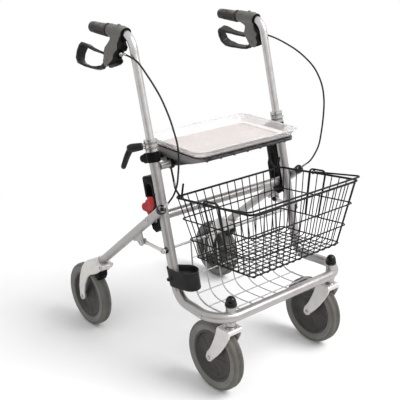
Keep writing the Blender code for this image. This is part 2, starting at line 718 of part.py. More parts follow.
def lean_sheet(side, outline, low, high):
    """An outline along the grip and below it, thick across the leaned plane."""
    down = Vector((side * math.sin(LEAN), 0, -math.cos(LEAN)))
    return sheet(outline, at(side * LEG_X, 0, HANDLE_BEND_Z), (0, 1, 0), down, low, high)


def brake_housing(which):
    """Brake body on the handle tube, with the slot and pin of its lever and the cable's adjuster."""
    side = 1
    outline = [(0.1060, -0.0080), (0.1200, -0.0150), (0.1740, -0.0150), (0.1790, -0.0080), (0.1770, 0.0120),
               (0.1560, 0.0230),
               (0.1620, 0.0360), (0.1700, 0.0480), (0.1695, 0.0570), (0.1655, 0.0680), (0.1580, 0.0870),
               (0.1450, 0.0960),
               (0.1250, 0.0900), (0.1060, 0.0820), (0.0990, 0.0750), (0.1010, 0.0690), (0.1100, 0.0640),
               (0.1080, 0.0480),
               (0.0980, 0.0440), (0.0970, 0.0330), (0.1120, 0.0200), (0.1120, 0.0000)]
    shape = lean_sheet(side, outline, -0.0110, 0.0110)
    sleeve = rod(at(side * LEG_X, 0.1180, HANDLE_BEND_Z), at(side * LEG_X, 0.1812, HANDLE_BEND_Z), 0.0168, 14)
    hood = [p for p in handle_path(side) if 0.108 + Y_SHIFT < p.y < 0.126 + Y_SHIFT]
    shape = join(shape, sleeve, tube(hood, 0.0150, 3))
    front = lean_at(side, 0.1220, 0.0600)
    shape = join(shape, rod(front, lean_at(side, 0.0990, 0.0560), 0.0055, 12))
    slot = [(0.1350, 0.0640), (0.1500, 0.0600), (0.1600, 0.0520), (0.2000, 0.0420), (0.2000, 0.1100),
            (0.1550, 0.1100),
            (0.1350, 0.0930)]
    shape = cut(shape, lean_sheet(side, slot, -0.0053, 0.0052))
    shape = cut(shape, tube(handle_path(side), HANDLE_R + 0.0008, 4))
    shape = join(shape, rod(lean_at(side, *LEVER_PIN, -0.0083), lean_at(side, *LEVER_PIN, 0.0081), 0.0030,
                            10))
    return shape if which > 0 else mirrored(shape)


def brake_lever(side):
    """Loop lever with its window, its tongue and the hole of its pin."""
    loop = [(0.1600, 0.0690), (0.1680, 0.0635), (0.1780, 0.0600), (0.2150, 0.0575), (0.2480, 0.0530),
            (0.2720, 0.0475),
            (0.2850, 0.0470), (0.2935, 0.0560), (0.2960, 0.0740), (0.2915, 0.0940), (0.2760, 0.1065),
            (0.2400, 0.1105),
            (0.2050, 0.1105), (0.1800, 0.1080), (0.1640, 0.1030), (0.1590, 0.0920)]
    window = [(0.1690, 0.0760), (0.1750, 0.0680), (0.1850, 0.0660), (0.2200, 0.0645), (0.2500, 0.0602),
              (0.2730, 0.0555),
              (0.2830, 0.0590), (0.2870, 0.0750), (0.2830, 0.0910), (0.2710, 0.0990), (0.2400, 0.1035),
              (0.2080, 0.1035),
              (0.1880, 0.1010), (0.1740, 0.0950), (0.1690, 0.0880)]
    shape = lean_sheet(side, loop, -0.0140, 0.0140)
    for face in (1, -1):
        waist = [(0.1200, 0.0047), (0.1770, 0.0047), (0.1840, 0.0080), (0.2350, 0.0085), (0.2640, 0.0142),
                 (0.2640, 0.0300),
                 (0.1200, 0.0300)]
        plan = [(y, face * out) for y, out in waist]
        normal = (side * math.cos(LEAN), 0, math.sin(LEAN))
        shape = cut(shape, sheet(plan, lean_at(side, 0, 0.0800), (0, 1, 0), normal, -0.060, 0.060))
    shape = cut(shape, lean_sheet(side, window, -0.0200, 0.0200))
    tongue = capsule(LEVER_PIN, (0.1640, 0.0800), 0.0085)
    shape = join(shape, lean_sheet(side, tongue, -0.0047, 0.0047))
    return cut(shape, rod(lean_at(side, *LEVER_PIN, -0.0200), lean_at(side, *LEVER_PIN, 0.0200), 0.0034, 12))


NEAR_ROUTE = [(0.0406, 0.8646), (-0.0010, 0.8377), (-0.0533, 0.7934), (-0.0884, 0.7495), (-0.1079, 0.7155),
              (-0.1234, 0.6799), (-0.1274, 0.6415), (-0.1238, 0.6006), (-0.1180, 0.5720), (-0.1018, 0.5400)]
FAR_ROUTE = [(0.0745, 0.8776), (0.0296, 0.8695), (-0.0327, 0.8510), (-0.0784, 0.8293), (-0.1137, 0.8037),
             (-0.1402, 0.7662), (-0.1518, 0.7245), (-0.1532, 0.6807), (-0.1499, 0.6355), (-0.1432, 0.5924),
             (-0.1307, 0.5623), (-0.1128, 0.5344)]


def brake_cable(side):
    """Outer cable from the brake's adjuster in a bow in front of the leg to the rear leg's plug."""
    route = NEAR_ROUTE if side < 0 else FAR_ROUTE
    start = lean_at(side, 0.0990, 0.0560)
    away = (start - lean_at(side, 0.1220, 0.0600)).normalized()
    end = rear_at(side, -0.0120)
    out = (end - rear_at(side, 0.0)).normalized()
    points = [start + away * GAP, start + away * 0.010]
    points += [at(side * 0.2520, y, z) for y, z in route]
    points += [end + out * 0.014, end + out * GAP]
    return tube(smooth_path(points, 32), 0.0024, 2)


# Seat, tray and basket
def seat():
    """Moulded seat board: top, skirts, and the pins it tips up on."""
    profile = [(0.0680, 0.6240), (-0.1240, 0.6240), (-0.1280, 0.6215), (-0.1270, 0.6170), (-0.1000, 0.6115),
               (-0.0748, 0.6046),
               (-0.0400, 0.5925), (-0.0213, 0.5884), (-0.0142, 0.5880), (-0.0142, 0.6006), (0.0082, 0.6006),
               (0.0082, 0.5900),
               (0.0110, 0.5880), (0.0220, 0.5835), (0.0460, 0.5835), (0.0640, 0.5900), (0.0700, 0.6000),
               (0.0700, 0.6220)]
    shape = side_sheet(profile, -SEAT_HALF, SEAT_HALF)
    shape = cut(shape, block(at(-0.1710, -0.1150, 0.5600), at(0.1710, 0.0630, 0.6180)))
    for side, _ in SIDES:
        ring = side * 0.1815
        shape = cut(shape, block(at(ring - 0.0080, -0.0180, 0.5600), at(ring + 0.0080, 0.0130, 0.6045)))
        shape = join(shape, rod(at(side * 0.1790, *SEAT_PIN), at(side * 0.2030, *SEAT_PIN), 0.0110, 16))
        shape = join(shape, rod(at(side * 0.1980, *SEAT_PIN), at(side * 0.2310, *SEAT_PIN), 0.0050, 14))
    return shape


def tapered_box(low, high, narrow, corner):
    """A box with rounded upright edges whose lower end is narrower."""
    size = high - low
    work = bmesh.new()
    place = Matrix.Translation((low + high) / 2) @ Matrix.Diagonal((size.x, size.y, size.z, 1.0))
    bmesh.ops.create_cube(work, size=1.0, matrix=place)
    upright = [e for e in work.edges if abs(e.verts[0].co.z - e.verts[1].co.z) > size.z / 2]
    bmesh.ops.bevel(work, geom=upright, offset=corner, segments=4, profile=0.5, affect='EDGES')
    middle = (low + high) / 2
    for vertex in work.verts:
        if vertex.co.z < middle.z:
            vertex.co.x = middle.x + (vertex.co.x - middle.x) * (1 - 2 * narrow / size.x)
            vertex.co.y = middle.y + (vertex.co.y - middle.y) * (1 - 2 * narrow / size.y)
    return from_bmesh(work)


def tray():
    """Clear tray with flared walls and a rim."""
    shape = tapered_box(at(-0.1880, -0.1274, 0.6247), at(0.1880, 0.1108, 0.6475), 0.012, 0.026)
    rim = tapered_box(at(-0.1900, -0.1294, 0.6447), at(0.1900, 0.1128, 0.6475), 0.0, 0.028)
    shape = join(shape, rim)
    return cut(shape, tapered_box(at(-0.1858, -0.1252, 0.6272), at(0.1858, 0.1086, 0.6500), 0.012, 0.024))


def on_side(point, side):
    return at(side * point[0], point[1], point[2])


def basket_wall(ends, columns):
    """A basket wall from its top pair and low pair of corners, drawn in so that the walls don't touch."""
    top_a, top_b, low_b, low_a = [Vector(p) for p in ends]
    inset = BASKET_WIRE / 2 + 0.0016
    along = (top_b - top_a).normalized()
    low_along = (low_b - low_a).normalized()
    top_a += along * inset
    top_b -= along * inset
    low_a += low_along * inset
    low_b -= low_along * inset
    low_a = low_a.lerp(top_a, 0.020)
    low_b = low_b.lerp(top_b, 0.020)
    shape = wire_grid([low_a, low_b, top_b, top_a], columns, 3, BASKET_WIRE)
    return join(shape, rod(top_a - along * (inset - 0.0032), top_b + along * (inset - 0.0032), RIM_R, 6))


def basket_side(side):
    return basket_wall([on_side(BASKET_TOP_REAR, side), on_side(BASKET_TOP_FRONT, side),
                        on_side(BASKET_LOW_FRONT, side), on_side(BASKET_LOW_REAR, side)], 11)


def basket_front():
    return basket_wall([on_side(BASKET_TOP_FRONT, -1), on_side(BASKET_TOP_FRONT, 1),
                        on_side(BASKET_LOW_FRONT, 1), on_side(BASKET_LOW_FRONT, -1)], 13)


def basket_back():
    return basket_wall([on_side(BASKET_TOP_REAR, -1), on_side(BASKET_TOP_REAR, 1),
                        on_side(BASKET_LOW_REAR, 1), on_side(BASKET_LOW_REAR, -1)], 13)


def basket_floor():
    """Floor net."""
    inset = 0.0040
    y_rear = BASKET_LOW_REAR[1] - inset
    y_front = BASKET_LOW_FRONT[1] + inset
    x = BASKET_LOW_REAR[0] - inset
    return wire_grid([at(-x, y_rear, BASKET_LOW_REAR[2]), at(x, y_rear, BASKET_LOW_REAR[2]),
                      at(x, y_front, BASKET_LOW_FRONT[2]), at(-x, y_front, BASKET_LOW_FRONT[2])], 9, 6,
                     BASKET_WIRE)


BAIL_PIN = (-0.170, 0.5237)


def basket_bail():
    """Carrying bail that lies on the front rim."""
    points = [at(-0.2072, *BAIL_PIN), at(-0.2072, -0.3350, 0.5535), at(0.2072, -0.3350, 0.5535),
              at(0.2072, *BAIL_PIN)]
    return tube(rounded(points, [0.012, 0.012], 4), 0.0025, 2)


# Assembly
def build():
    frame = holder("frame", at(0, 0, 0))
    for side, word in SIDES:
        finish(front_leg(side), "front_leg_" + word, FRAME_PAINT, frame)
        finish(clamp_collar(side), "clamp_collar_" + word, STEEL, frame)
        finish(seat_bracket(side), "seat_bracket_" + word, BLACK, frame)
        finish(guide(side), "guide_" + word, BLACK, frame)
        finish(dome_cap(side), "dome_cap_" + word, BLACK, frame)
        finish(basket_hanger(side), "basket_hanger_" + word, WIRE_BLACK, frame)
    finish(base_bar(), "base_bar", FRAME_PAINT, frame)
    finish(seat_tube(), "seat_cross_tube", FRAME_PAINT, frame)
    finish(shelf_back(), "shelf_back", WIRE_GREY, frame)
    finish(shelf_floor(), "shelf_floor", WIRE_GREY, frame)
    finish(cane_holder(), "cane_holder", BLACK, frame)
    latch = holder("latch_pivot", leg_at(-LEG_X, 0.108, 0.048), frame)
    finish(red_latch(), "red_latch", RED, latch)

    carriage = holder("carriage", at(0, *CROSSBAR), frame)
    finish(crossbar(), "crossbar", FRAME_PAINT, carriage)
    rear = holder("rear_frame", at(0, *CROSSBAR), carriage)
    for side, word in SIDES:
        finish(rear_leg(side), "rear_leg_" + word, FRAME_PAINT, rear)
        finish(end_plug(side), "end_plug_" + word, BLACK, rear)
        finish(rear_fork(side), "rear_fork_" + word, FORK_PAINT, rear)
        shoe = holder("shoe_pivot_" + word, at(side * REAR_X, *BRAKE_PIN), rear)
        finish(brake_shoe(side), "brake_shoe_" + word, BLACK, shoe)
        centre = at(side * REAR_X, REAR_Y, 0.100)
        spin = holder("rear_axle_" + word, centre, rear)
        finish(tyre(centre), "rear_tyre_" + word, TYRE, spin)
        finish(hub(centre), "rear_hub_" + word, HUB, spin)
        pivot = holder("link_pivot_" + word, at(side * 0.2556, *FRONT_PIN), frame)
        finish(link(side), "link_" + word, FORK_PAINT, pivot)

        swivel = holder("caster_pivot_" + word, at(side * CASTER_X, CASTER_Y, 0.2105), frame)
        finish(caster_fork(side), "caster_fork_" + word, FORK_PAINT, swivel)
        centre = at(side * FRONT_X, FRONT_Y, 0.100)
        spin = holder("front_axle_" + word, centre, swivel)
        finish(tyre(centre), "front_tyre_" + word, TYRE, spin)
        finish(hub(centre), "front_hub_" + word, HUB, spin)

        slide = holder("handle_slide_" + word, leg_at(side * LEG_X, LEG_TOP, 0), frame)
        finish(handle_tube(side), "handle_tube_" + word, SATIN, slide)
        finish(grip(side), "grip_" + word, RUBBER, slide)
        finish(brake_housing(side), "brake_housing_" + word, BLACK, slide)
        lever = holder("lever_pivot_" + word, lean_at(side, *LEVER_PIN), slide)
        finish(brake_lever(side), "brake_lever_" + word, BLACK, lever)
        finish(brake_cable(side), "brake_cable_" + word, WIRE_BLACK, frame)
        clamp = holder("clamp_pivot_" + word, leg_at(side * LEG_X, 0.2560, 0), frame)
        finish(clamp_lever(side), "clamp_lever_" + word, BLACK, clamp)

    tip = holder("seat_pivot", at(0, *SEAT_PIN), frame)
    finish(seat(), "seat", BLACK, tip)
    lift = holder("tray_lift", at(0, -0.0083, 0.6247), tip)
    finish(tray(), "tray", CLEAR, lift)
    basket = holder("basket_lift", at(0, BASKET_TOP_REAR[1], BASKET_TOP_REAR[2]), frame)
    finish(basket_front(), "basket_front", WIRE_BLACK, basket)
    finish(basket_back(), "basket_back", WIRE_BLACK, basket)
    finish(basket_side(-1), "basket_right", WIRE_BLACK, basket)
    finish(basket_side(1), "basket_left", WIRE_BLACK, basket)
    finish(basket_floor(), "basket_floor", WIRE_BLACK, basket)
    bail = holder("bail_pivot", at(0, *BAIL_PIN), basket)
    finish(basket_bail(), "basket_bail", WIRE_BLACK, bail)
    bpy.context.view_layer.update()
    for shape in list(WORK.objects):
        bpy.data.objects.remove(shape)


build()
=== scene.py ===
import math

import bmesh
import bpy
from mathutils import Matrix, Vector


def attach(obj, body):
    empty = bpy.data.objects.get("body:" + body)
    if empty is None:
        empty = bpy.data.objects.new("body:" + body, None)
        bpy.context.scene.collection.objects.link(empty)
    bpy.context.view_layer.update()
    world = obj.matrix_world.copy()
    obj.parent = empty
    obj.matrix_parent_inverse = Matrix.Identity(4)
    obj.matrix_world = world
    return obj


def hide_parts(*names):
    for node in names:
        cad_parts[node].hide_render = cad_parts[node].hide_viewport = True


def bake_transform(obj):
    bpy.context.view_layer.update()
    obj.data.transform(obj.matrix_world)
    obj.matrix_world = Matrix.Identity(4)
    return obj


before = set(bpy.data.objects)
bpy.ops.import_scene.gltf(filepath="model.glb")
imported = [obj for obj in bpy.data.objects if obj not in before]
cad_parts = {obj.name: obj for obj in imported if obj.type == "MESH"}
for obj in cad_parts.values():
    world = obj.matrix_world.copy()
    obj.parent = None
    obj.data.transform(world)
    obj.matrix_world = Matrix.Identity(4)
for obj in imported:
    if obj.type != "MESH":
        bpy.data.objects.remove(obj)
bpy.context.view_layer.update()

# Sizes of the rollator, in metres, repeated from the model's source
Y_SHIFT = -0.0387
LEG_X = 0.2335
LEG_Y = -0.054
LEG_Z = 0.4
LEG_TILT = math.radians(15.04)
LEG_R = 0.014
LEG_TOP = 0.2609
SPLIT_Y = -0.175
BEND_Z = 0.2375
BAR_Y = -0.2725
BAR_Z = 0.243
HANDLE_R = 0.011
HANDLE_LOW = 0.047
HANDLE_BEND_Z = 0.9257
GRIP_START = 0.19
GRIP_END = 0.276
WHEEL_R = 0.1
HUB_R = 0.0727
REAR_X = 0.2634
REAR_Y = 0.3154
FRONT_X = 0.1931
FRONT_Y = -0.2037
CASTER_X = 0.194
CASTER_Y = -0.262
FORK_HALF = 0.0255
FORK_INNER = 0.0193
REAR_FORK_HALF = 0.031
REAR_FORK_INNER = 0.0245
REAR_LEG_X = 0.2607
REAR_LEG_R = 0.0125
REAR_TOP = (-0.0621, 0.4933)
REAR_END = (0.2488, 0.2305)
REAR_LENGTH = math.hypot(REAR_END[0] - REAR_TOP[0], REAR_END[1] - REAR_TOP[1])
CROSSBAR = (-0.012, 0.451)
FRONT_PIN = (-0.062, 0.374)
REAR_PIN = (0.028, 0.373)
BRAKE_PIN = (0.24, 0.206)
SEAT_TUBE = (-0.003, 0.589)
SEAT_PIN = (0.04, 0.604)
SEAT_HALF = 0.184
HANGER_X = 0.1815
CANE_EAR = (-0.083, 0.2985)
SLEEVE_BOLT = (0.217, 0.23)
RAIL_HALF = 0.0138
SHELF_ROD_Z = 0.3755
COLLAR_FOOT = 0.2375
LEAN = math.radians(21.5)
LEVER_PIN = (0.15, 0.078)
BASKET_TOP_REAR = (0.2, -0.0425, 0.508)
BASKET_TOP_FRONT = (0.199, -0.335, 0.544)
BASKET_LOW_REAR = (0.165, -0.092, 0.333)
BASKET_LOW_FRONT = (0.165, -0.309, 0.354)
BAIL_PIN = (-0.17, 0.5237)
SIN = math.sin(LEG_TILT)
COS = math.cos(LEG_TILT)
SIDES = ((-1, "right"), (1, "left"))


# Points
def at(x, y, z):
    """A point, with the footprint's shift."""
    return Vector((x, y + Y_SHIFT, z))


def leg_at(x, along, behind):
    """A point given along the front leg and behind it."""
    return at(x, LEG_Y + along * SIN + behind * COS, LEG_Z + along * COS - behind * SIN)


def round_turn(steps):
    """Angles round a full circle."""
    return [2 * math.pi * k / steps for k in range(steps)]


def leg_y(z):
    """Y of a front leg's axis at a height."""
    return LEG_Y + (z - LEG_Z) * SIN / COS


def rear_at(side, along, below=0.0):
    """A point given along the rear leg from its upper end, and below its axis."""
    dy = (REAR_END[0] - REAR_TOP[0]) / REAR_LENGTH
    dz = (REAR_END[1] - REAR_TOP[1]) / REAR_LENGTH
    return at(side * REAR_LEG_X, REAR_TOP[0] + dy * along + dz * below,
            REAR_TOP[1] + dz * along - dy * below)


def grip_at(side, y, across=0.0, up=0.0):
    """A point by the line of a grip."""
    return at(side * LEG_X + across, y, HANDLE_BEND_Z + up)


def lean_at(side, y, below, out=0.0):
    """A point by a brake's leaned plane: along the grip, below it and out of the plane."""
    x = LEG_X + below * math.sin(LEAN) + out * math.cos(LEAN)
    return at(side * x, y, HANDLE_BEND_Z - below * math.cos(LEAN) + out * math.sin(LEAN))


def rounded(points, radii, steps=12, closed=False):
    """A path through the points with each inner corner rounded."""
    if closed:
        corners = list(zip(points[-1:] + points[:-1], points, points[1:] + points[:1], radii))
        path = []
    else:
        corners = list(zip(points, points[1:], points[2:], radii))
        path = [Vector(points[0])]
    for before, corner, after, radius in corners:
        a = (Vector(before) - Vector(corner)).normalized()
        b = (Vector(after) - Vector(corner)).normalized()
        half = a.angle(b) / 2
        reach = radius / math.tan(half)
        centre = Vector(corner) + (a + b).normalized() * (radius / math.sin(half))
        start = Vector(corner) + a * reach - centre
        end = Vector(corner) + b * reach - centre
        for step in range(steps + 1):
            path.append(centre + start.normalized().slerp(end.normalized(), step / steps) * radius)
    if not closed:
        path.append(Vector(points[-1]))
    return path


def smooth_path(points, count):
    """Evenly spaced points on a smooth curve through the given ones."""
    dense = []
    ends = [2 * Vector(points[0]) - Vector(points[1])] + [Vector(p) for p in points]
    ends.append(2 * Vector(points[-1]) - Vector(points[-2]))
    for p0, p1, p2, p3 in zip(ends, ends[1:], ends[2:], ends[3:]):
        for step in range(12):
            t = step / 12
            dense.append(0.5 * (2 * p1 + (p2 - p0) * t + (2 * p0 - 5 * p1 + 4 * p2 - p3) * t * t
                    + (3 * p1 - p0 - 3 * p2 + p3) * t ** 3))
    dense.append(Vector(points[-1]))
    reach = [0.0]
    for a, b in zip(dense, dense[1:]):
        reach.append(reach[-1] + (b - a).length)
    path = []
    index = 0
    for step in range(count):
        want = reach[-1] * step / (count - 1)
        while index < len(dense) - 2 and reach[index + 1] < want:
            index += 1
        part = (want - reach[index]) / (reach[index + 1] - reach[index])
        path.append(dense[index].lerp(dense[index + 1], min(part, 1.0)))
    return path


def arc(centre, radius, start, end, steps):
    """Points of an arc, degrees."""
    turn = [math.radians(start + (end - start) * i / steps) for i in range(steps + 1)]
    return [(centre[0] + radius * math.cos(a), centre[1] + radius * math.sin(a)) for a in turn]


def capsule(a, b, radius, end_radius=None):
    """Outline of a bar with round ends, which may taper."""
    end_radius = radius if end_radius is None else end_radius
    heading = math.degrees(math.atan2(b[1] - a[1], b[0] - a[0]))
    far = arc(b, end_radius, heading - 90, heading + 90, 14)
    return far + arc(a, radius, heading + 90, heading + 270, 14)


def corner_radii(points, radius):
    """The radius at each inner point of a row, as far as there is room."""
    radii = []
    for before, corner, after in zip(points, points[1:], points[2:]):
        half = max((before - corner).angle(after - corner) / 2, 0.05)
        room = min((before - corner).length, (after - corner).length) * 0.48
        radii.append(max(min(radius, room * math.tan(half)), 0.000001))
    return radii


def rectangle(a, b, c, d):
    """Outline from one corner to the opposite one."""
    return [(a, b), (c, b), (c, d), (a, d)]


def doubled(half, a=1, b=-1):
    """A row of points and its mirror image, as one outline."""
    return half + [(a * p, b * q) for p, q in reversed(half)]


def softened(outline, radius):
    """A closed flat outline with its corners rounded."""
    points = [Vector((p[0], p[1], 0.0)) for p in outline]
    radii = corner_radii(points[-1:] + points + points[:1], radius)
    return [(p.x, p.y) for p in rounded(points, radii, 5, closed=True)]


def eased(profile, radius):
    """An open profile with its corners rounded."""
    points = [Vector((r, 0.0, h)) for r, h in profile]
    return [(p.x, p.z) for p in rounded(points, corner_radii(points, radius), 4)]


# Shapes
def scratch(mesh):
    """A working object that holds a mesh or a curve."""
    shape = bpy.data.objects.new("work", mesh)
    bpy.context.scene.collection.objects.link(shape)
    return shape


def baked(shape):
    """The shape with its modifiers applied and its faces pointing out."""
    bpy.context.view_layer.update()
    evaluated = shape.evaluated_get(bpy.context.evaluated_depsgraph_get())
    mesh = bpy.data.meshes.new_from_object(evaluated)
    mesh.transform(shape.matrix_world)
    work = bmesh.new()
    work.from_mesh(mesh)
    bmesh.ops.remove_doubles(work, verts=work.verts, dist=0.00001)
    bmesh.ops.recalc_face_normals(work, faces=work.faces)
    work.to_mesh(mesh)
    work.free()
    bpy.data.objects.remove(shape)
    return scratch(mesh)


def from_bmesh(work):
    """A working object from bmesh data."""
    bmesh.ops.recalc_face_normals(work, faces=work.faces)
    mesh = bpy.data.meshes.new("work")
    work.to_mesh(mesh)
    work.free()
    return scratch(mesh)


def skin(rings, closed=False):
    """A surface over a row of rings, all with as many points; an open row gets end faces."""
    work = bmesh.new()
    rows = [[work.verts.new(point) for point in ring] for ring in rings]
    count = len(rows[0])
    pairs = list(zip(rows, rows[1:]))
    if closed:
        pairs.append((rows[-1], rows[0]))
    for low, high in pairs:
        for i in range(count):
            j = (i + 1) % count
            work.faces.new((low[i], low[j], high[j], high[i]))
    if not closed:
        work.faces.new(rows[0])
        work.faces.new(rows[-1])
    return from_bmesh(work)


def swept(path, radius, sides=24, edge=0.0006, closed=False, flat=1.0):
    """A round bar along a path with eased ends; radius is one number or one for each point."""
    path = [Vector(p) for p in path]
    radii = list(radius) if hasattr(radius, "__len__") else [radius] * len(path)
    if edge and (not closed):
        first = (path[1] - path[0]).normalized()
        last = (path[-2] - path[-1]).normalized()
        path[1:1] = [path[0] + first * edge]
        path[-1:-1] = [path[-1] + last * edge]
        radii = [radii[0] - edge] + radii + [radii[-1] - edge]
    count = len(path)
    frames = []
    normal = None
    for i, point in enumerate(path):
        before = path[i - 1] if i or closed else path[0]
        after = path[(i + 1) % count] if i < count - 1 or closed else path[-1]
        tangent = (after - before).normalized()
        if normal is None:
            guess = Vector((0, 0, 1)) if abs(tangent.z) < 0.9 else Vector((1, 0, 0))
            normal = (guess - tangent * guess.dot(tangent)).normalized()
        normal = (normal - tangent * normal.dot(tangent)).normalized()
        frames.append((point, normal.copy(), tangent.cross(normal)))
    rings = []
    for (point, a, b), r in zip(frames, radii):
        rings.append([point + a * (r * math.cos(t)) + b * (r * flat * math.sin(t))
                for t in round_turn(sides)])
    return skin(rings, closed=closed)


def domed(path, radii):
    """A path and its radii with a dome at the last end, inside the given length."""
    path = [Vector(p) for p in path]
    radii = list(radii)
    tip = path[-1]
    way = (path[-1] - path[-2]).normalized()
    radius = radii[-1]
    while len(path) > 2 and (path[-1] - tip).length < radius:
        path.pop()
        radii.pop()
    for step in range(7):
        turn = math.radians(86 * step / 6)
        path.append(tip - way * radius * (1 - math.sin(turn)))
        radii.append(radius * math.cos(turn))
    return (path, radii)


def bar(start, end, radius, sides=28, edge=0.0006, end_radius=None):
    """A straight round bar with eased ends."""
    radii = [radius, radius if end_radius is None else end_radius]
    return swept([start, end], radii, sides, edge)


def cross_pin(x, half, y, z, radius, sides=28, edge=0.0006):
    """A straight round bar across, as long on both sides of x."""
    return bar(at(x - half, y, z), at(x + half, y, z), radius, sides, edge)


def lathed(profile, origin, axis, steps=56, closed=False, flutes=0, depth=0.0):
    """A profile of (radius, height) pairs turned about an axis, with flutes along it."""
    turn = Vector((0, 0, 1)).rotation_difference(Vector(axis)).to_matrix().to_4x4()
    place = Matrix.Translation(Vector(origin)) @ turn
    rings = []
    for radius, height in profile:
        ring = []
        for t in round_turn(steps):
            r = max(radius, 0.00002)
            r *= 1 + depth * math.cos(flutes * t) if radius > 0.002 else 1
            ring.append(place @ Vector((r * math.cos(t), r * math.sin(t), height)))
        rings.append(ring)
    return skin(rings, closed=closed)


def turned(rim, soft, centre, axis, steps=32, flutes=0, depth=0.0):
    """A turned solid, from a rim of (radius, height) pairs with eased corners."""
    profile = [(0.0, rim[0][1])] + rim + [(0.0, rim[-1][1])]
    return lathed(eased(profile, soft), centre, axis, steps, False, flutes, depth)


def disc(centre, axis, radius, height, soft, steps=32, top=None):
    """A washer or boss with eased edges, which may taper to its top."""
    return turned([(radius, 0.0), (radius if top is None else top, height)], soft, centre, axis, steps)


def sheet(outlines, origin, across, up, low, high, edge=0.0008):
    """A plate from low to high with rounded edges; outlines after the first are holes."""
    across = Vector(across).normalized()
    up = Vector(up).normalized()
    normal = across.cross(up)
    edge = min(edge, (high - low) * 0.49)
    curve = bpy.data.curves.new("outline", "CURVE")
    curve.dimensions = "2D"
    curve.fill_mode = "BOTH"
    curve.extrude = (high - low) / 2 - edge
    curve.bevel_depth = edge
    curve.bevel_resolution = 2
    curve.offset = -edge
    for outline in outlines:
        spline = curve.splines.new("POLY")
        spline.points.add(len(outline) - 1)
        for point, (a, b) in zip(spline.points, outline):
            point.co = (a, b, 0.0, 1.0)
        spline.use_cyclic_u = True
    shape = scratch(curve)
    turn = Matrix((across, up, normal)).transposed().to_4x4()
    shape.matrix_world = Matrix.Translation(Vector(origin) + normal * (low + high) / 2) @ turn
    return baked(shape)


def side_sheet(outlines, x_low, x_high, edge=0.0008):
    """Outlines in Y and Z, thick along X."""
    return sheet(outlines, (0, Y_SHIFT, 0), (0, 1, 0), (0, 0, 1), min(x_low, x_high),
            max(x_low, x_high), edge)


def leg_sheet(outlines, x_low, x_high, edge=0.0008):
    """Outlines behind and along the front leg, thick along X."""
    return sheet(outlines, at(0, LEG_Y, LEG_Z), (0, COS, -SIN), (0, SIN, COS), min(x_low, x_high),
            max(x_low, x_high), edge)


def lean_sheet(side, outlines, low, high, edge=0.0008):
    """Outlines along and below the grip, thick across a brake's leaned plane."""
    down = Vector((side * math.sin(LEAN), 0, -math.cos(LEAN)))
    return sheet(outlines, at(side * LEG_X, 0, HANDLE_BEND_Z), (0, 1, 0), down, low, high, edge)


def gathered(*shapes):
    """Several shapes as one object, with their surfaces left as they are."""
    work = bmesh.new()
    for shape in shapes:
        mesh = shape.data
        mesh.transform(shape.matrix_world)
        work.from_mesh(mesh)
        bpy.data.objects.remove(shape)
    return from_bmesh(work)


def joined(build):
    """Makes one object of the shapes that a function yields."""

    def made(*values):
        return gathered(*build(*values))
    return made


def combine(shape, others, operation):
    """Boolean of a shape with others, applied."""
    for other in others:
        change = shape.modifiers.new("combine", "BOOLEAN")
        change.operation = operation
        change.solver = "EXACT"
        change.object = other
        result = baked(shape)
        bpy.data.objects.remove(other)
        shape = result
    return shape


def cut(shape, *others):
    """The shape without the others."""
    return combine(shape, others, "DIFFERENCE")


def moulded(shape, grain=0.001, passes=6, keep=0.5):
    """One soft skin over overlapping solids, with small fillets where they meet."""
    melt = shape.modifiers.new("melt", "REMESH")
    melt.mode = "VOXEL"
    melt.voxel_size = grain
    smooth = shape.modifiers.new("smooth", "SMOOTH")
    smooth.factor = 0.5
    smooth.iterations = passes
    thin = shape.modifiers.new("thin", "DECIMATE")
    thin.ratio = keep
    return baked(shape)


def mirrored(shape, side):
    """The shape of the left side, turned over for the right side."""
    if side < 0:
        shape.data.transform(Matrix.Diagonal((-1, 1, 1, 1)))
        shape.data.flip_normals()
    return shape


# Surface effects, each built once as a node group
def fill(tree, item, inputs):
    """A node with a value or a link on each named input."""
    for key, value in inputs.items():
        if isinstance(value, bpy.types.NodeSocket):
            tree.links.new(value, item.inputs[key])
        else:
            item.inputs[key].default_value = value
    return item


def put(tree, kind, inputs=None, **settings):
    """A new node with its settings and inputs."""
    item = tree.nodes.new(kind)
    for key, value in settings.items():
        setattr(item, key, value)
    return fill(tree, item, inputs or {})


def use(tree, group, inputs):
    """The outputs of a node group placed in a material with its own values."""
    return fill(tree, put(tree, "ShaderNodeGroup", node_tree=group), inputs).outputs


def noise(tree, where, scale, detail, **more):
    """Noise from 0 to 1 over a surface."""
    return put(tree, "ShaderNodeTexNoise", {"Vector": where, "Scale": scale, "Detail": detail,
            **more}).outputs["Fac"]


def between(tree, value, to_low, to_high, low=0.0, high=1.0):
    """A value's range from low to high, brought between two other numbers."""
    return put(tree, "ShaderNodeMapRange", {"Value": value, "From Min": low, "From Max": high,
            "To Min": to_low, "To Max": to_high}).outputs["Result"]


def mask_of(tree, value, low, high):
    """A mask that goes from 0 to 1 as the value goes from low to high."""
    return between(tree, value, 0.0, 1.0, low, high)


def reckon(tree, operation, *values):
    """Arithmetic on numbers or sockets."""
    return put(tree, "ShaderNodeMath", dict(enumerate(values)), operation=operation).outputs["Value"]


def effect(name, numbers, outputs, vectors=("Place",)):
    """A node group, the sockets of its inputs and the node for its outputs."""
    group = bpy.data.node_groups.new(name, "ShaderNodeTree")
    for label in vectors:
        group.interface.new_socket(name=label, in_out="INPUT", socket_type="NodeSocketVector")
    for label, value in numbers.items():
        group.interface.new_socket(name=label, in_out="INPUT",
                socket_type="NodeSocketFloat").default_value = value
    for label in outputs:
        group.interface.new_socket(name=label, in_out="OUTPUT", socket_type="NodeSocketFloat")
    return (group, group.nodes.new("NodeGroupInput").outputs, group.nodes.new("NodeGroupOutput"))


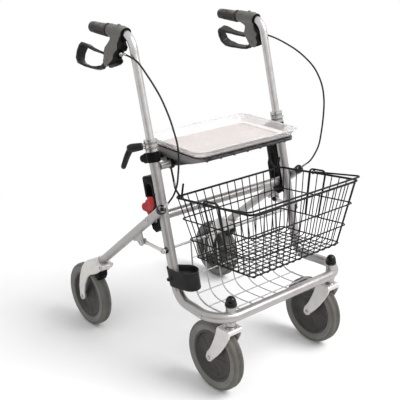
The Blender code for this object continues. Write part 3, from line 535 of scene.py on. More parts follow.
def patchy_effect():
    """Slow and fast variation: Patches for colour and gloss, Grain for a fine height."""
    group, given, result = effect("patches_and_grain", {"Patch Scale": 18.0, "Grain Scale": 900.0},
            ["Patches", "Grain"])
    slow = noise(group, given["Place"], given["Patch Scale"], 4.0, Roughness=0.6)
    fast = noise(group, given["Place"], given["Grain Scale"], 2.0, Roughness=0.5)
    fill(group, result, {"Patches": mask_of(group, slow, 0.3, 0.7), "Grain": fast})
    return group


def edge_effect():
    """A mask of rubbed edges, strongest on convex ones and broken up by noise."""
    group, given, result = effect("rubbed_edges", {"Width": 0.0012, "Amount": 0.6}, ["Rubbed"])
    soft = put(group, "ShaderNodeBevel", {"Radius": given["Width"]}, samples=4)
    here = put(group, "ShaderNodeNewGeometry")
    same = put(group, "ShaderNodeVectorMath", {0: soft.outputs["Normal"], 1: here.outputs["Normal"]},
            operation="DOT_PRODUCT")
    differs = mask_of(group, same.outputs["Value"], 0.98, 0.8)
    broken = mask_of(group, noise(group, given["Place"], 140.0, 4.0), 0.42, 0.62)
    rubbed = reckon(group, "MULTIPLY", differs, broken)
    fill(group, result, {"Rubbed": reckon(group, "MULTIPLY", rubbed, given["Amount"])})
    return group


def scratch_effect():
    """Hairline scratches in a few places."""
    group, given, result = effect("hairlines", {"Scale": 60.0, "Width": 0.006}, ["Lines"])
    swirl = noise(group, given["Place"], given["Scale"], 1.0, Distortion=0.4)
    folded = reckon(group, "ABSOLUTE", reckon(group, "SUBTRACT", swirl, 0.5))
    thin = reckon(group, "LESS_THAN", folded, given["Width"])
    here = mask_of(group, noise(group, given["Place"], 23.0, 0.0), 0.52, 0.66)
    fill(group, result, {"Lines": reckon(group, "MULTIPLY", thin, here)})
    return group


def dust_and_lit_top_effect():
    """Fine dust that gathers on what faces up; where its amount is large it is painted light that lightens
    the tops of things.
    """
    group, given, result = effect("settled_dust_and_lit_top", {"Amount": 0.2}, ["Dust and lit top"], ("Place", "Facing"))
    up = mask_of(group, put(group, "ShaderNodeSeparateXYZ", {"Vector": given["Facing"]}).outputs["Z"], 0.2,
            1.0)
    broken = mask_of(group, noise(group, given["Place"], 45.0, 6.0), 0.35, 0.75)
    settled = reckon(group, "MULTIPLY", up, broken)
    fill(group, result, {"Dust and lit top": reckon(group, "MULTIPLY", settled, given["Amount"])})
    return group


PATCHY = patchy_effect()
EDGES = edge_effect()
HAIRLINES = scratch_effect()
DUST_AND_LIT_TOP = dust_and_lit_top_effect()


def blended(tree, mask, low, high):
    """A colour between two by a mask; each is a grey, a colour or a socket."""
    mix = put(tree, "ShaderNodeMix", {0: mask}, data_type="RGBA")
    for index, colour in ((6, low), (7, high)):
        if isinstance(colour, float):
            colour = (colour, colour, colour)
        fill(tree, mix, {index: colour if isinstance(colour, bpy.types.NodeSocket) else (*colour, 1.0)})
    return mix.outputs[2]


def new_look(name):
    """A material, its tree, its shader and coordinates that move with the piece."""
    look = bpy.data.materials.new(name)
    look.use_nodes = True
    tree = look.node_tree
    return (look, tree, tree.nodes["Principled BSDF"], put(tree, "ShaderNodeTexCoord").outputs)


def finish_look(made, colour, rough, height, distance, plain):
    """The material with colour, roughness, bump and plain numbers on its shader."""
    look, tree, shader, _ = made
    bump = put(tree, "ShaderNodeBump", {"Height": height, "Strength": 1.0, "Distance": distance})
    fill(tree, shader, {"Base Color": colour, "Roughness": rough,
            "Normal": bump.outputs["Normal"], **plain})
    return look


DUST_AND_LIT_TOP_GREY = (0.42, 0.41, 0.39)


def worn_look(name, dark, light, gloss, metallic=0.0, patch=18.0, grain=900.0, depth=0.02, rub=0.0,
        rub_colour=0.3, rub_width=0.0012, lines=0.0, dust_and_lit_top=0.0, coat=0.0, shine=0.5):
    """A finish between two colours and two roughness values; depth is the grain's, in millimetres."""
    made = new_look(name)
    _, tree, _, place = made
    where = place["Object"]
    patchy = use(tree, PATCHY, {"Place": where, "Patch Scale": patch, "Grain Scale": grain})
    colour = blended(tree, patchy["Patches"], dark, light)
    rough = between(tree, patchy["Patches"], *gloss)
    if rub:
        edges = use(tree, EDGES, {"Place": where, "Width": rub_width, "Amount": rub})
        colour = blended(tree, edges["Rubbed"], colour, rub_colour)
    if lines:
        marks = use(tree, HAIRLINES, {"Place": where, "Scale": 60.0, "Width": 0.005})
        strength = between(tree, marks["Lines"], 0.0, lines)
        colour = blended(tree, strength, colour, rub_colour)
        rough = reckon(tree, "MULTIPLY_ADD", strength, 0.3, rough)
    # Dust on upward faces, blended to a pale grey; on the grips its amount is so high that it paints a lit
    # top
    if dust_and_lit_top:
        dust_and_lit_top_mask = use(tree, DUST_AND_LIT_TOP, {"Place": where, "Facing": place["Normal"], "Amount": dust_and_lit_top})["Dust and lit top"]
        colour = blended(tree, dust_and_lit_top_mask, colour, DUST_AND_LIT_TOP_GREY)
        rough = reckon(tree, "MULTIPLY_ADD", dust_and_lit_top_mask, 0.4, rough)
    return finish_look(made, colour, rough, patchy["Grain"], depth / 1000, {"Metallic": metallic,
            "Coat Weight": coat, "Coat Roughness": 0.15, "Specular IOR Level": shine})


# Finishes of the rollator
def champagne_paint():
    """Pearly grey stove enamel of the frame."""
    return worn_look("champagne_paint", (0.37, 0.352, 0.352), (0.43, 0.41, 0.41), (0.31, 0.39),
            metallic=0.75, patch=30.0, grain=1600.0, depth=0.03, rub=0.35, rub_colour=(0.6, 0.59, 0.58),
            rub_width=0.001, lines=0.25, dust_and_lit_top=0.08, coat=0.15)


def satin_tube_finish():
    """Brighter satin aluminium of the handle tubes, faintly drawn along the tube."""
    return worn_look("satin_tube", (0.5, 0.48, 0.48), (0.62, 0.6, 0.6), (0.28, 0.36), metallic=0.95,
            patch=40.0, grain=2200.0, rub_colour=0.8, lines=0.3, dust_and_lit_top=0.04)


def fork_paint():
    """Light silver paint of the forks and links."""
    return worn_look("fork_paint", (0.58, 0.56, 0.545), (0.68, 0.66, 0.645), (0.3, 0.42), metallic=0.55,
            patch=35.0, grain=1500.0, depth=0.04, rub=0.4, rub_colour=0.78, lines=0.2, dust_and_lit_top=0.08, coat=0.15)


def bright_steel():
    """Plated bolts, collars and nuts."""
    return worn_look("bright_steel", (0.42, 0.415, 0.41), (0.6, 0.59, 0.58), (0.16, 0.3), metallic=1.0,
            patch=90.0, grain=2600.0, rub_colour=0.8, lines=0.2)


def shelf_wire_finish():
    """Grey plated wire of the shelf."""
    return worn_look("shelf_wire", (0.4, 0.4, 0.405), (0.5, 0.5, 0.505), (0.3, 0.45), metallic=0.85,
            patch=60.0, grain=2000.0, rub_colour=0.6, lines=0.2, dust_and_lit_top=0.08)


def groove_shade_and_dark_steel_finish():
    """Dark plated steel of the collar bolts' ends, and painted shade in the clamp collars' grooves."""
    return worn_look("groove_shade_and_dark_steel", (0.22, 0.22, 0.225), (0.32, 0.32, 0.325), (0.3, 0.45), metallic=0.85,
            patch=60.0, grain=2000.0, rub_colour=0.6, lines=0.2, dust_and_lit_top=0.08)


def black_moulding():
    """Black moulded nylon with a fine spark texture."""
    return worn_look("black_moulding", 0.003, 0.006, (0.34, 0.5), patch=25.0, grain=1300.0, depth=0.05,
            rub=0.4, rub_colour=0.03, lines=0.25, dust_and_lit_top=0.01, shine=0.06)


def gloss_black():
    """Shiny black of the dome caps, knobs and end plugs."""
    return worn_look("gloss_black", (0.002, 0.002, 0.003), 0.005, (0.1, 0.2), patch=40.0, grain=1200.0,
            depth=0.01, rub=0.3, rub_colour=0.05, rub_width=0.001, lines=0.2, dust_and_lit_top=0.01, shine=0.32)


def brake_body_finish():
    """Dark grey glass-filled plastic of the brakes."""
    return worn_look("brake_body", (0.105, 0.103, 0.096), (0.14, 0.137, 0.128), (0.36, 0.52), patch=30.0,
            grain=1100.0, depth=0.06, rub=0.5, rub_colour=(0.19, 0.19, 0.185), lines=0.2,
            dust_and_lit_top=0.25, shine=0.2)


def lever_finish():
    """Near black plastic of the brake levers."""
    return worn_look("lever_plastic", 0.01, 0.018, (0.3, 0.46), patch=30.0, grain=1200.0, depth=0.05,
            rub=0.6, rub_colour=0.12, rub_width=0.0016, lines=0.25, dust_and_lit_top=0.12, shine=0.2)


def grip_rubber():
    """Soft matt rubber of the grips, with a painted highlight: its large dust amount lightens the grips'
    tops as if lit.
    """
    return worn_look("grip_rubber", (0.04, 0.036, 0.034), (0.06, 0.055, 0.052), (0.5, 0.66), patch=24.0,
            grain=1000.0, depth=0.08, rub=0.3, rub_colour=0.15, rub_width=0.0014, dust_and_lit_top=0.75, shine=0.15)


def dark_rubber_and_groove_shade():
    """Dark brownish rubber of the grip's fine ring, and painted shade in the grip's finger grooves."""
    return worn_look("dark_rubber_and_groove_shade", (0.014, 0.011, 0.01), (0.024, 0.019, 0.017), (0.55, 0.7), patch=24.0,
            grain=1000.0, depth=0.06, rub=0.3, rub_colour=0.05, rub_width=0.001, dust_and_lit_top=0.04, shine=0.2)


def cable_sheath():
    """Dark plastic sheath of the brake cables."""
    return worn_look("cable_sheath", 0.008, (0.016, 0.016, 0.015), (0.32, 0.48), patch=50.0, grain=1500.0,
            depth=0.03, rub_colour=0.1, lines=0.2, dust_and_lit_top=0.03, shine=0.15)


def basket_wire_finish():
    """Black dip coating of the basket."""
    return worn_look("coated_wire", (0.005, 0.005, 0.006), (0.011, 0.011, 0.012), (0.24, 0.4), patch=60.0,
            depth=0.06, rub=0.3, rub_colour=0.05, rub_width=0.0006, dust_and_lit_top=0.02, shine=0.15)


def tyre_rubber():
    """Grey tyre with dust in the tread."""
    return worn_look("tyre_rubber", (0.094, 0.088, 0.078), (0.136, 0.129, 0.115), (0.55, 0.72), patch=22.0,
            grain=700.0, depth=0.12, rub=0.5, rub_colour=(0.22, 0.22, 0.215), rub_width=0.002, lines=0.2,
            dust_and_lit_top=0.18, shine=0.25)


def sidewall_rubber():
    """Paler grey of the tyre's sidewalls."""
    return worn_look("sidewall_rubber", (0.135, 0.132, 0.124), (0.182, 0.179, 0.168), (0.5, 0.66),
            patch=22.0, grain=700.0, depth=0.1, rub=0.5, rub_colour=(0.28, 0.28, 0.275), rub_width=0.002,
            lines=0.2, dust_and_lit_top=0.12, shine=0.25)


def hub_plastic():
    """Dark grey moulded hub."""
    return worn_look("hub_plastic", (0.03, 0.028, 0.025), (0.048, 0.045, 0.041), (0.32, 0.46), patch=28.0,
            grain=1000.0, depth=0.06, rub=0.5, rub_colour=0.12, rub_width=0.0014, lines=0.2,
            dust_and_lit_top=0.1, shine=0.35)


def red_plastic():
    """Glossy red of the fold latch."""
    return worn_look("red_plastic", (0.36, 0.012, 0.014), (0.46, 0.02, 0.02), (0.2, 0.32), patch=60.0,
            grain=1400.0, rub=0.3, rub_colour=(0.6, 0.16, 0.15), rub_width=0.001, lines=0.2, shine=0.15)


def seat_plastic():
    """Black seat board with a leathery grain, and a painted sheen: paler along the top of its sides."""
    made = new_look("seat_plastic")
    _, tree, _, place = made
    where = place["Object"]
    patchy = use(tree, PATCHY, {"Place": where, "Patch Scale": 14.0, "Grain Scale": 900.0})
    cells = put(tree, "ShaderNodeTexVoronoi", {"Vector": where, "Scale": 520.0}, feature="DISTANCE_TO_EDGE")
    pebble = mask_of(tree, cells.outputs["Distance"], 0.0, 0.25)
    height = reckon(tree, "MULTIPLY_ADD", patchy["Grain"], 0.25, pebble)
    spot = put(tree, "ShaderNodeSeparateXYZ", {"Vector": where})
    facing = put(tree, "ShaderNodeSeparateXYZ", {"Vector": place["Normal"]})
    # Painted sheen: the top of the seat's sides is made paler to stand in for light reflected off their
    # rounded upper part
    high = mask_of(tree, spot.outputs["Z"], 0.602, 0.615)
    painted_sheen_flank = mask_of(tree, reckon(tree, "ABSOLUTE", facing.outputs["X"]), 0.35, 0.8)
    edges = use(tree, EDGES, {"Place": where, "Width": 0.0016, "Amount": 0.5})
    dust_and_lit_top_mask = use(tree, DUST_AND_LIT_TOP, {"Place": where, "Facing": place["Normal"], "Amount": 0.22})
    colour = blended(tree, patchy["Patches"], (0.006, 0.006, 0.007), (0.012, 0.012, 0.013))
    colour = blended(tree, reckon(tree, "MULTIPLY", high, painted_sheen_flank), colour, (0.2, 0.181, 0.177))
    colour = blended(tree, edges["Rubbed"], colour, 0.085)
    colour = blended(tree, dust_and_lit_top_mask["Dust and lit top"], colour, DUST_AND_LIT_TOP_GREY)
    rough = between(tree, patchy["Patches"], 0.24, 0.34)
    return finish_look(made, colour, rough, height, 0.0001, {"Specular IOR Level": 0.22})


def clear_tray_finish():
    """Clear plastic of the tray's walls and rim, lightly scuffed."""
    made = new_look("clear_tray")
    _, tree, _, place = made
    patchy = use(tree, PATCHY, {"Place": place["Object"], "Patch Scale": 16.0, "Grain Scale": 700.0})
    marks = use(tree, HAIRLINES, {"Place": place["Object"], "Scale": 45.0, "Width": 0.004})
    colour = blended(tree, patchy["Patches"], (0.93, 0.9, 0.895), (0.97, 0.945, 0.94))
    rough = reckon(tree, "MULTIPLY_ADD", marks["Lines"], 0.12, between(tree, patchy["Patches"], 0.06, 0.14))
    return finish_look(made, colour, rough, patchy["Grain"], 0.00001,
            {"Metallic": 0.0, "Transmission Weight": 0.64, "IOR": 1.45})


def tray_floor_finish():
    """Frosted warm grey of the tray's floor."""
    return worn_look("tray_floor", (0.56, 0.51, 0.49), (0.64, 0.59, 0.57), (0.16, 0.3), patch=9.0,
            rub_colour=(0.7, 0.68, 0.66), lines=0.12, shine=0.35)


def tray_border_highlight_finish():
    """Painted highlight: a pale frosted border of the tray's floor that stands in for the bright line of
    light along the clear tray's bottom corner.
    """
    return worn_look("tray_border_highlight", (0.8, 0.76, 0.75), (0.88, 0.85, 0.84), (0.16, 0.3), patch=9.0,
            rub_colour=(0.7, 0.68, 0.66), lines=0.1, shine=0.35)


PAINT = champagne_paint()
SATIN = satin_tube_finish()
FORK_PAINT = fork_paint()
STEEL = bright_steel()
SHELF_WIRE = shelf_wire_finish()
GROOVE_SHADE_AND_DARK_STEEL = groove_shade_and_dark_steel_finish()
BLACK = black_moulding()
GLOSS = gloss_black()
BRAKE_GREY = brake_body_finish()
LEVER_BLACK = lever_finish()
RUBBER = grip_rubber()
DARK_RUBBER_AND_GROOVE_SHADE = dark_rubber_and_groove_shade()
SHEATH = cable_sheath()
BASKET_BLACK = basket_wire_finish()
TYRE = tyre_rubber()
TYRE_SIDE = sidewall_rubber()
HUB = hub_plastic()
RED = red_plastic()
SEAT_BLACK = seat_plastic()
CLEAR = clear_tray_finish()
TRAY_GREY = tray_floor_finish()
TRAY_EDGE_HIGHLIGHT = tray_border_highlight_finish()


def dressed(shape, name, look, sharp=35):
    """Give a piece its name, finish and shading, on no body yet."""
    shape.name = name
    shape.data.name = name
    shape.data.materials.clear()
    shape.data.materials.append(look)
    shape.data.shade_smooth()
    shape.data.set_sharp_from_angle(angle=math.radians(sharp))


def mount(shape, name, look, body, *nodes, sharp=35):
    """Finish a piece that rides on a body and stands for the named nodes."""
    dressed(shape, name, look, sharp)
    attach(shape, body)
    if nodes:
        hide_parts(*nodes)


def both(build, name, look, body, *nodes, sharp=35):
    """The right and the left piece from one function; {} in a name stands for the side."""
    for side, word in SIDES:
        named = [node.format(word) for node in nodes]
        mount(build(side), name.format(word), look, body.format(word), *named, sharp=sharp)


def bead(path, radius, closed=True):
    """An uneven weld bead along a path."""
    radii = [radius * (1 + 0.16 * math.sin(i * 2.1) + 0.07 * math.sin(i * 0.9)) for i in range(len(path))]
    return swept(path, radii, 10, 0.0 if closed else 0.0004, closed)


def ring_path(centre, axis, radius, steps=48):
    """Points of a circle about an axis."""
    turn = Vector((0, 0, 1)).rotation_difference(Vector(axis)).to_matrix()
    points = []
    for t in round_turn(steps):
        points.append(Vector(centre) + turn @ Vector((radius * math.cos(t), radius * math.sin(t), 0)))
    return points


def screw_head(centre, axis, radius, height, six=True):
    """A domed screw head with its hexagon socket."""
    rim = [(radius, 0.0), (radius, height * 0.35), (radius * 0.72, height)]
    head = turned(rim, radius * 0.16, centre, axis)
    if not six:
        return head
    way = Vector(axis).normalized()
    sink = Vector(centre) + way * height * 0.45
    socket = lathed([(0.0, 0.0), (radius * 0.45, 0.0), (radius * 0.45, height),
            (0.0, height)], sink, way, 6)
    return cut(head, socket)


def hex_nut(centre, axis, radius, height):
    """A six sided nut with a chamfered crown and a rounded stud end."""
    nut = lathed([(0.0, 0.0), (radius, 0.0), (radius, height * 0.8), (radius * 0.88, height),
            (0.0, height)], centre, axis, 6)
    stud_foot = Vector(centre) + Vector(axis).normalized() * height * 0.9
    stud = lathed(eased([(0.0, 0.0), (radius * 0.48, 0.0), (radius * 0.48, height * 0.5),
            (0.0, height * 0.62)], 0.0006), stud_foot, axis, 20)
    return gathered(nut, stud)


# Front frame: one bent tube, sockets, welds and the shelf
@joined
def front_tube():
    """The tube of both front legs and the front bar, with the caster sockets."""
    points = []
    for side in (-1, 1):
        half = [leg_at(side * LEG_X, LEG_TOP, 0), at(side * LEG_X, leg_y(BEND_Z), BEND_Z),
                at(side * 0.2405, SPLIT_Y, 0.24156), at(side * 0.2475, BAR_Y, BAR_Z)]
        points += half if side < 0 else half[::-1]
    yield swept(rounded(points, [0.05, 0.6, 0.07, 0.07, 0.6, 0.05], 16), LEG_R, 40, 0.0008)
    rim = [(0.0116, 0.0), (0.0135, 0.001), (0.0135, 0.055), (0.0128, 0.056)]
    for side in (-1, 1):
        yield turned(rim, 0.0008, at(side * CASTER_X, CASTER_Y, 0.216), (0, 0, 1), 44)


def socket_weld(side):
    """Weld bead where a caster socket goes through the bar."""
    reach = math.asin((LEG_R - abs(BAR_Y - CASTER_Y)) / 0.0135)
    path = []
    for half in (1, -1):
        turns = [math.pi - reach + (math.pi + 2 * reach) * k / 30 for k in range(31)]
        for t in turns if half > 0 else turns[-2:0:-1]:
            y = CASTER_Y + 0.0139 * math.sin(t)
            height = math.sqrt(max(LEG_R ** 2 - (y - BAR_Y) ** 2, 0.0))
            path.append(at(side * CASTER_X + 0.0139 * math.cos(t), y, BAR_Z + half * (height + 0.0003)))
    return bead(path, 0.0017)


def tube_weld(side):
    """Weld bead between the seat tube and a leg."""
    return bead(ring_path(at(side * 0.2186, *SEAT_TUBE), (1, 0, 0), 0.0103), 0.0013)


def seat_cross_tube():
    """Tube between the legs under the seat."""
    return cross_pin(0.0, 0.2192, *SEAT_TUBE, 0.01, 32, 0.0008)


def dome_cap(side):
    """Glossy cap on a caster socket, with a rolled foot."""
    profile = [(0.0, 0.0274), (0.004, 0.027), (0.008, 0.0253), (0.0112, 0.0218), (0.0134, 0.017),
            (0.0145, 0.0115), (0.0149, 0.0086), (0.0144, 0.0078), (0.0144, 0.007), (0.0158, 0.0064),
            (0.016, 0.0052), (0.016, 0.0012), (0.0154, 0.0002), (0.0, 0.0002)]
    return lathed(profile[::-1], at(side * CASTER_X, CASTER_Y, 0.2723), (0, 0, 1), 48)


def link_spacer(side):
    """Black spacer between a front leg and its link."""
    profile = eased([(0.0, 0.0), (0.0092, 0.0), (0.0078, 0.007), (0.0, 0.0072)], 0.0006)
    return lathed(profile, at(side * 0.2458, *FRONT_PIN), (side, 0, 0), 32)


def bend_rivet(side):
    """Small rivet on the outer face of the bottom bend."""
    return screw_head(at(side * 0.2583, -0.215, 0.2425), (side, 0, 0), 0.003, 0.0012, False)


SHELF_PATH = [(-0.064, 0.3755), (-0.0705, 0.315), (-0.083, 0.256), (-0.096, 0.225), (-0.118, 0.2115),
        (-0.145, 0.2085), (-0.195, 0.212), (-0.233, 0.2195), (-0.256, 0.2285)]


@joined
def wire_shelf():
    """Wires that drop from the cross rod and turn forward to the bar, and cross wires."""
    bend = arc((BAR_Y, BAR_Z), LEG_R + 0.0019, -38, -78, 4)
    for k in range(8):
        x = -0.1635 + 0.327 * k / 7
        path = smooth_path([at(x, y, z) for y, z in SHELF_PATH + bend], 46)
        yield swept(path, 0.0024 if k in (0, 7) else 0.0017, 10, 0.0003)
    lines = smooth_path([Vector((0.0, y, z)) for y, z in SHELF_PATH], 60)
    for share in (0.16, 0.32, 0.475, 0.66, 0.84):
        point = lines[int(share * 59)]
        yield cross_pin(0.0, 0.1655, point.y, point.z + 0.003, 0.0017, 10)
    yield cross_pin(0.0, 0.219, leg_y(SHELF_ROD_Z), SHELF_ROD_Z, 0.0035, 16)


# Clamps, brackets and guides on the legs
CLAMP_TURN = math.radians(40)
BOSS_TURN = math.radians(-12)


def clamp_way(side, turn=CLAMP_TURN):
    """Direction of a clamp's bolt, square to the leg."""
    return Vector((side * math.cos(turn), math.sin(turn) * COS, -math.sin(turn) * SIN))


def leg_ring(side, profile, along, steps=56):
    """A profile turned about a front leg, from a place along the leg."""
    return lathed(profile, leg_at(side * LEG_X, along, 0), (0, SIN, COS), steps, True)


def clamp_root(side):
    """The point on a front leg's axis that the clamp's bolt points to."""
    return leg_at(side * LEG_X, 0.256, 0)


@joined
def clamp_collar(side):
    """Polished collar with two grooves and the boss of its bolt."""
    profile = [(0.015, 0.0), (0.0176, 0.0), (0.0182, 0.0006), (0.0182, 0.0072), (0.017, 0.008),
            (0.017, 0.0112), (0.0182, 0.012), (0.0182, 0.0205), (0.017, 0.0213), (0.017, 0.0245),
            (0.0182, 0.0253), (0.0182, 0.0337), (0.0174, 0.0345), (0.0118, 0.0345),
            (0.0118, 0.024), (0.015, 0.0234)]
    way = clamp_way(side)
    rim = [(0.0085, 0.0), (0.0085, 0.0115), (0.007, 0.0123)]
    yield leg_ring(side, profile, COLLAR_FOOT)
    yield turned(rim, 0.0007, clamp_root(side) + way * 0.0092, way, 36)
    if side > 0:
        way = clamp_way(side, BOSS_TURN)
        rim = [(0.0062, 0.0), (0.0062, 0.0118), (0.004, 0.0124), (0.004, 0.0106)]
        yield turned(rim, 0.0005, clamp_root(side) + way * 0.01, way)


@joined
def collar_groove_shade_and_bolt_end(side):
    """Dark rings in the collar's grooves that paint the shade there, and the dark end of its bolt."""
    # Painted shade: dark rings fill the grooves where shade falls
    for height in (0.0082, 0.0215):
        yield leg_ring(side, rectangle(0.016, 0.0, 0.0176, 0.0028), COLLAR_FOOT + height)
    if side > 0:
        way = clamp_way(side, BOSS_TURN)
        yield screw_head(clamp_root(side) + way * 0.0205, way, 0.0038, 0.0024)


def clamp_lever(side):
    """T lever of the clamp: a fluted head about the bolt and a flat arm with a ridge."""
    root = clamp_root(side)
    way = clamp_way(side)
    rim = [(0.0084, 0.0), (0.0096, 0.002), (0.0114, 0.024), (0.0112, 0.033),
            (0.0086, 0.0405), (0.004, 0.0425)]
    head = turned(rim, 0.005, root + way * 0.0222, way, 96, 16, 0.022)
    bend = root + way * 0.054
    tip = root + way * 0.0775 + Vector((0, 0, -0.053))
    path = smooth_path([bend, bend.lerp(tip, 0.35) + way * 0.0018,
            bend.lerp(tip, 0.72) + way * 0.001, tip], 18)
    ridge = swept([p + Vector((0, -0.0062, 0)) for p in path[4:-5]], 0.0014, 8, 0.0008)
    path, radii = domed(path, [0.0088 - 0.0018 * k / 17 for k in range(18)])
    arm = swept(path, radii, 24, 0.0, flat=0.8)
    return gathered(head, arm, ridge)


def seat_bracket(side):
    """Moulded bracket that carries the seat's pin, with a round knob behind."""
    x = side * LEG_X
    shell = leg_ring(side, eased([(0.0143, 0.0), (0.0172, 0.0), (0.0185, 0.0012), (0.0185, 0.026),
            (0.0176, 0.027), (0.0143, 0.027)], 0.001), 0.21, 48)
    outline = arc((0.0372, 0.2218), 0.0098, -80, 80, 12)
    outline += [(0.02, 0.237), (0.0143, 0.237), (0.0143, 0.211), (0.02, 0.2098)]
    ear = leg_sheet([softened(outline, 0.004)], side * 0.205, side * 0.2465, 0.003)
    path, radii = domed([leg_at(x, 0.218, 0.024), leg_at(x, 0.215, 0.034), leg_at(x, 0.2125, 0.045)],
            [0.0078, 0.0076, 0.0074])
    knob = swept(path, radii, 28, 0.0)
    return moulded(gathered(shell, ear, knob), 0.0011, 4, 0.5)


@joined
def guide(side):
    """Moulded rail behind the leg, with the cross bar's slot and a ribbed block above it."""
    x = side * LEG_X
    outer = [(0.006, 0.0315), (0.03, 0.02), (0.044, 0.03), (0.0565, 0.052), (0.0565, 0.118), (0.05, 0.132),
            (0.05, 0.17), (0.044, 0.175), (0.006, 0.175)]
    slot = arc((0.0273, 0.0601), 0.0131, 180, 360, 16) + arc((0.0273, 0.1415), 0.0131, 0, 180, 16)
    flange = softened(outer, 0.005)
    if side < 0:
        recess = [(0.006, 0.0315), (0.03, 0.02), (0.044, 0.03), (0.05, 0.06), (0.0412, 0.062),
                (0.0412, 0.116), (0.05, 0.118), (0.05, 0.17), (0.044, 0.175), (0.006, 0.175)]
        yield leg_sheet([softened(recess, 0.002), slot], x - RAIL_HALF, x - 0.0062, 0.001)
        yield leg_sheet([flange, slot], x - 0.006, x + RAIL_HALF, 0.0012)
    else:
        yield leg_sheet([flange, slot], x - RAIL_HALF, x - 0.007, 0.0012)
        yield leg_sheet([softened([(0.008, 0.0335), (0.03, 0.024), (0.042, 0.033), (0.053, 0.056),
                (0.053, 0.115), (0.047, 0.129), (0.047, 0.169), (0.008, 0.172)], 0.004), slot],
                x - 0.0072, x + 0.0072, 0.0006)
        yield leg_sheet([flange, slot], x + 0.007, x + RAIL_HALF, 0.0012)
    for k in range(5):
        along = 0.1375 + 0.007 * k
        rib = softened(rectangle(0.0445, along, 0.0508, along + 0.0036), 0.001)
        yield leg_sheet([rib], x - 0.0128, x + 0.0128, 0.0008)
        near = 0.015 if along > 0.155 else 0.0412
        side_rib = softened(rectangle(near, along, 0.044, along + 0.0028), 0.001)
        outside = x + side * 0.0136
        yield leg_sheet([side_rib], outside, outside + side * 0.0006, 0.0002)


def red_latch():
    """Red fold latch: a plate on the rail's face with a thumb lobe behind."""
    x = -LEG_X
    plate = [(0.0425, 0.066), (0.05, 0.064), (0.056, 0.069), (0.06, 0.076)]
    plate += arc((0.069, 0.089), 0.0105, -60, 60, 9) + [(0.06, 0.103), (0.052, 0.111), (0.043, 0.108)]
    pad = arc((0.069, 0.089), 0.012, -80, 80, 14) + [(0.0574, 0.102), (0.0574, 0.0765)]
    shapes = [leg_sheet([softened(plate, 0.0025)], x - 0.0135, x - 0.0064, 0.0014),
            leg_sheet([softened(pad, 0.003)], x - 0.0125, x + 0.01, 0.0028)]
    return moulded(gathered(*shapes), 0.0007, 4, 0.5)


def latch_tongue():
    """Red tongue of the latch on the rail's outer face."""
    outline = [(0.014, 0.1195), (0.0375, 0.1195), (0.047, 0.106), (0.047, 0.08), (0.04, 0.079),
            (0.029, 0.08), (0.015, 0.093)]
    return leg_sheet([softened(outline, 0.004)], -LEG_X - 0.01445, -LEG_X - 0.01385, 0.0002)


@joined
def latch_ribs():
    """Raised grip lines on the latch's thumb lobe."""
    for k in range(4):
        a = math.radians(-42 + 28 * k)
        centre = (0.069 + 0.0119 * math.cos(a), 0.089 + 0.0119 * math.sin(a))
        yield bar(leg_at(-LEG_X - 0.0095, centre[1], centre[0]),
                leg_at(-LEG_X + 0.007, centre[1], centre[0]), 0.0007, 8, 0.0003)


def cane_ring(height, cup_radius, leg_radius=0.005):
    """Outline round the cane cup and the leg at a height; both lean with the leg."""
    lean = (height - 0.302) * SIN / COS
    circles = [((-0.212, -0.116 + lean), cup_radius), ((-LEG_X, leg_y(height)), leg_radius)]
    points = []
    for t in round_turn(72):
        way = (math.cos(t), math.sin(t))
        centre, radius = max(circles, key=lambda c: c[0][0] * way[0] + c[0][1] * way[1] + c[1])
        points.append(at(centre[0] + way[0] * radius, centre[1] + way[1] * radius, height))
    return points


def cane_shape(*rows):
    """A skin over rings of the cane cup: height, cup radius and leg radius of each."""
    return skin([cane_ring(*row) for row in rows])


def cane_holder():
    """Oval cane cup with a rolled lip, that takes the right leg in its wall."""
    body = cane_shape((0.276, 0.0262, 0.016), (0.2775, 0.0278, 0.0174), (0.296, 0.0282, 0.0176),
            (0.314, 0.0286, 0.0178), (0.321, 0.0288, 0.018), (0.3225, 0.0296, 0.0188),
            (0.3245, 0.0296, 0.0188), (0.325, 0.0288, 0.0182))
    inside = cane_shape((0.28, 0.025), (0.305, 0.0256), (0.311, 0.0258))
    mouth = cane_shape((0.307, 0.0256, 0.015), (0.318, 0.0262, 0.0156), (0.327, 0.0276, 0.0166))
    bore = bar(leg_at(-LEG_X, -0.165, 0), leg_at(-LEG_X, -0.05, 0), LEG_R + 0.0003, 40)
    ear = bar(at(-0.24, *CANE_EAR), at(-0.259, *CANE_EAR), 0.0056, 24, 0.0012)
    return gathered(moulded(cut(body, inside, mouth, bore), 0.001, 3, 0.5), ear)


def basket_hanger(side):
    """Rod that hooks under the basket's rear rim, and its ring round the seat tube."""
    x = side * HANGER_X
    hook = [at(x, y, z) for y, z in arc(BASKET_TOP_REAR[1:], 0.0066, 20, -150, 16)]
    path = [at(x, -0.004, 0.578), at(x, -0.013, 0.55),
            at(x, -0.0215, 0.523)] + hook + [at(x, -0.056, 0.546)]
    rod = swept(smooth_path(path, 60), 0.0028, 14, 0.0008)
    profile = eased(rectangle(0.0102, 0.0, 0.0132, 0.01), 0.001)
    return gathered(rod, lathed(profile, at(x - 0.005, *SEAT_TUBE), (1, 0, 0), 40, True))


def hanger_sleeve(side):
    """Pale sleeve on a hanger's rod."""
    return disc(at(side * HANGER_X, -0.0196, 0.529), (0, 0.0066, 0.026), 0.0036, 0.012, 0.0006, 24, 0.0038)


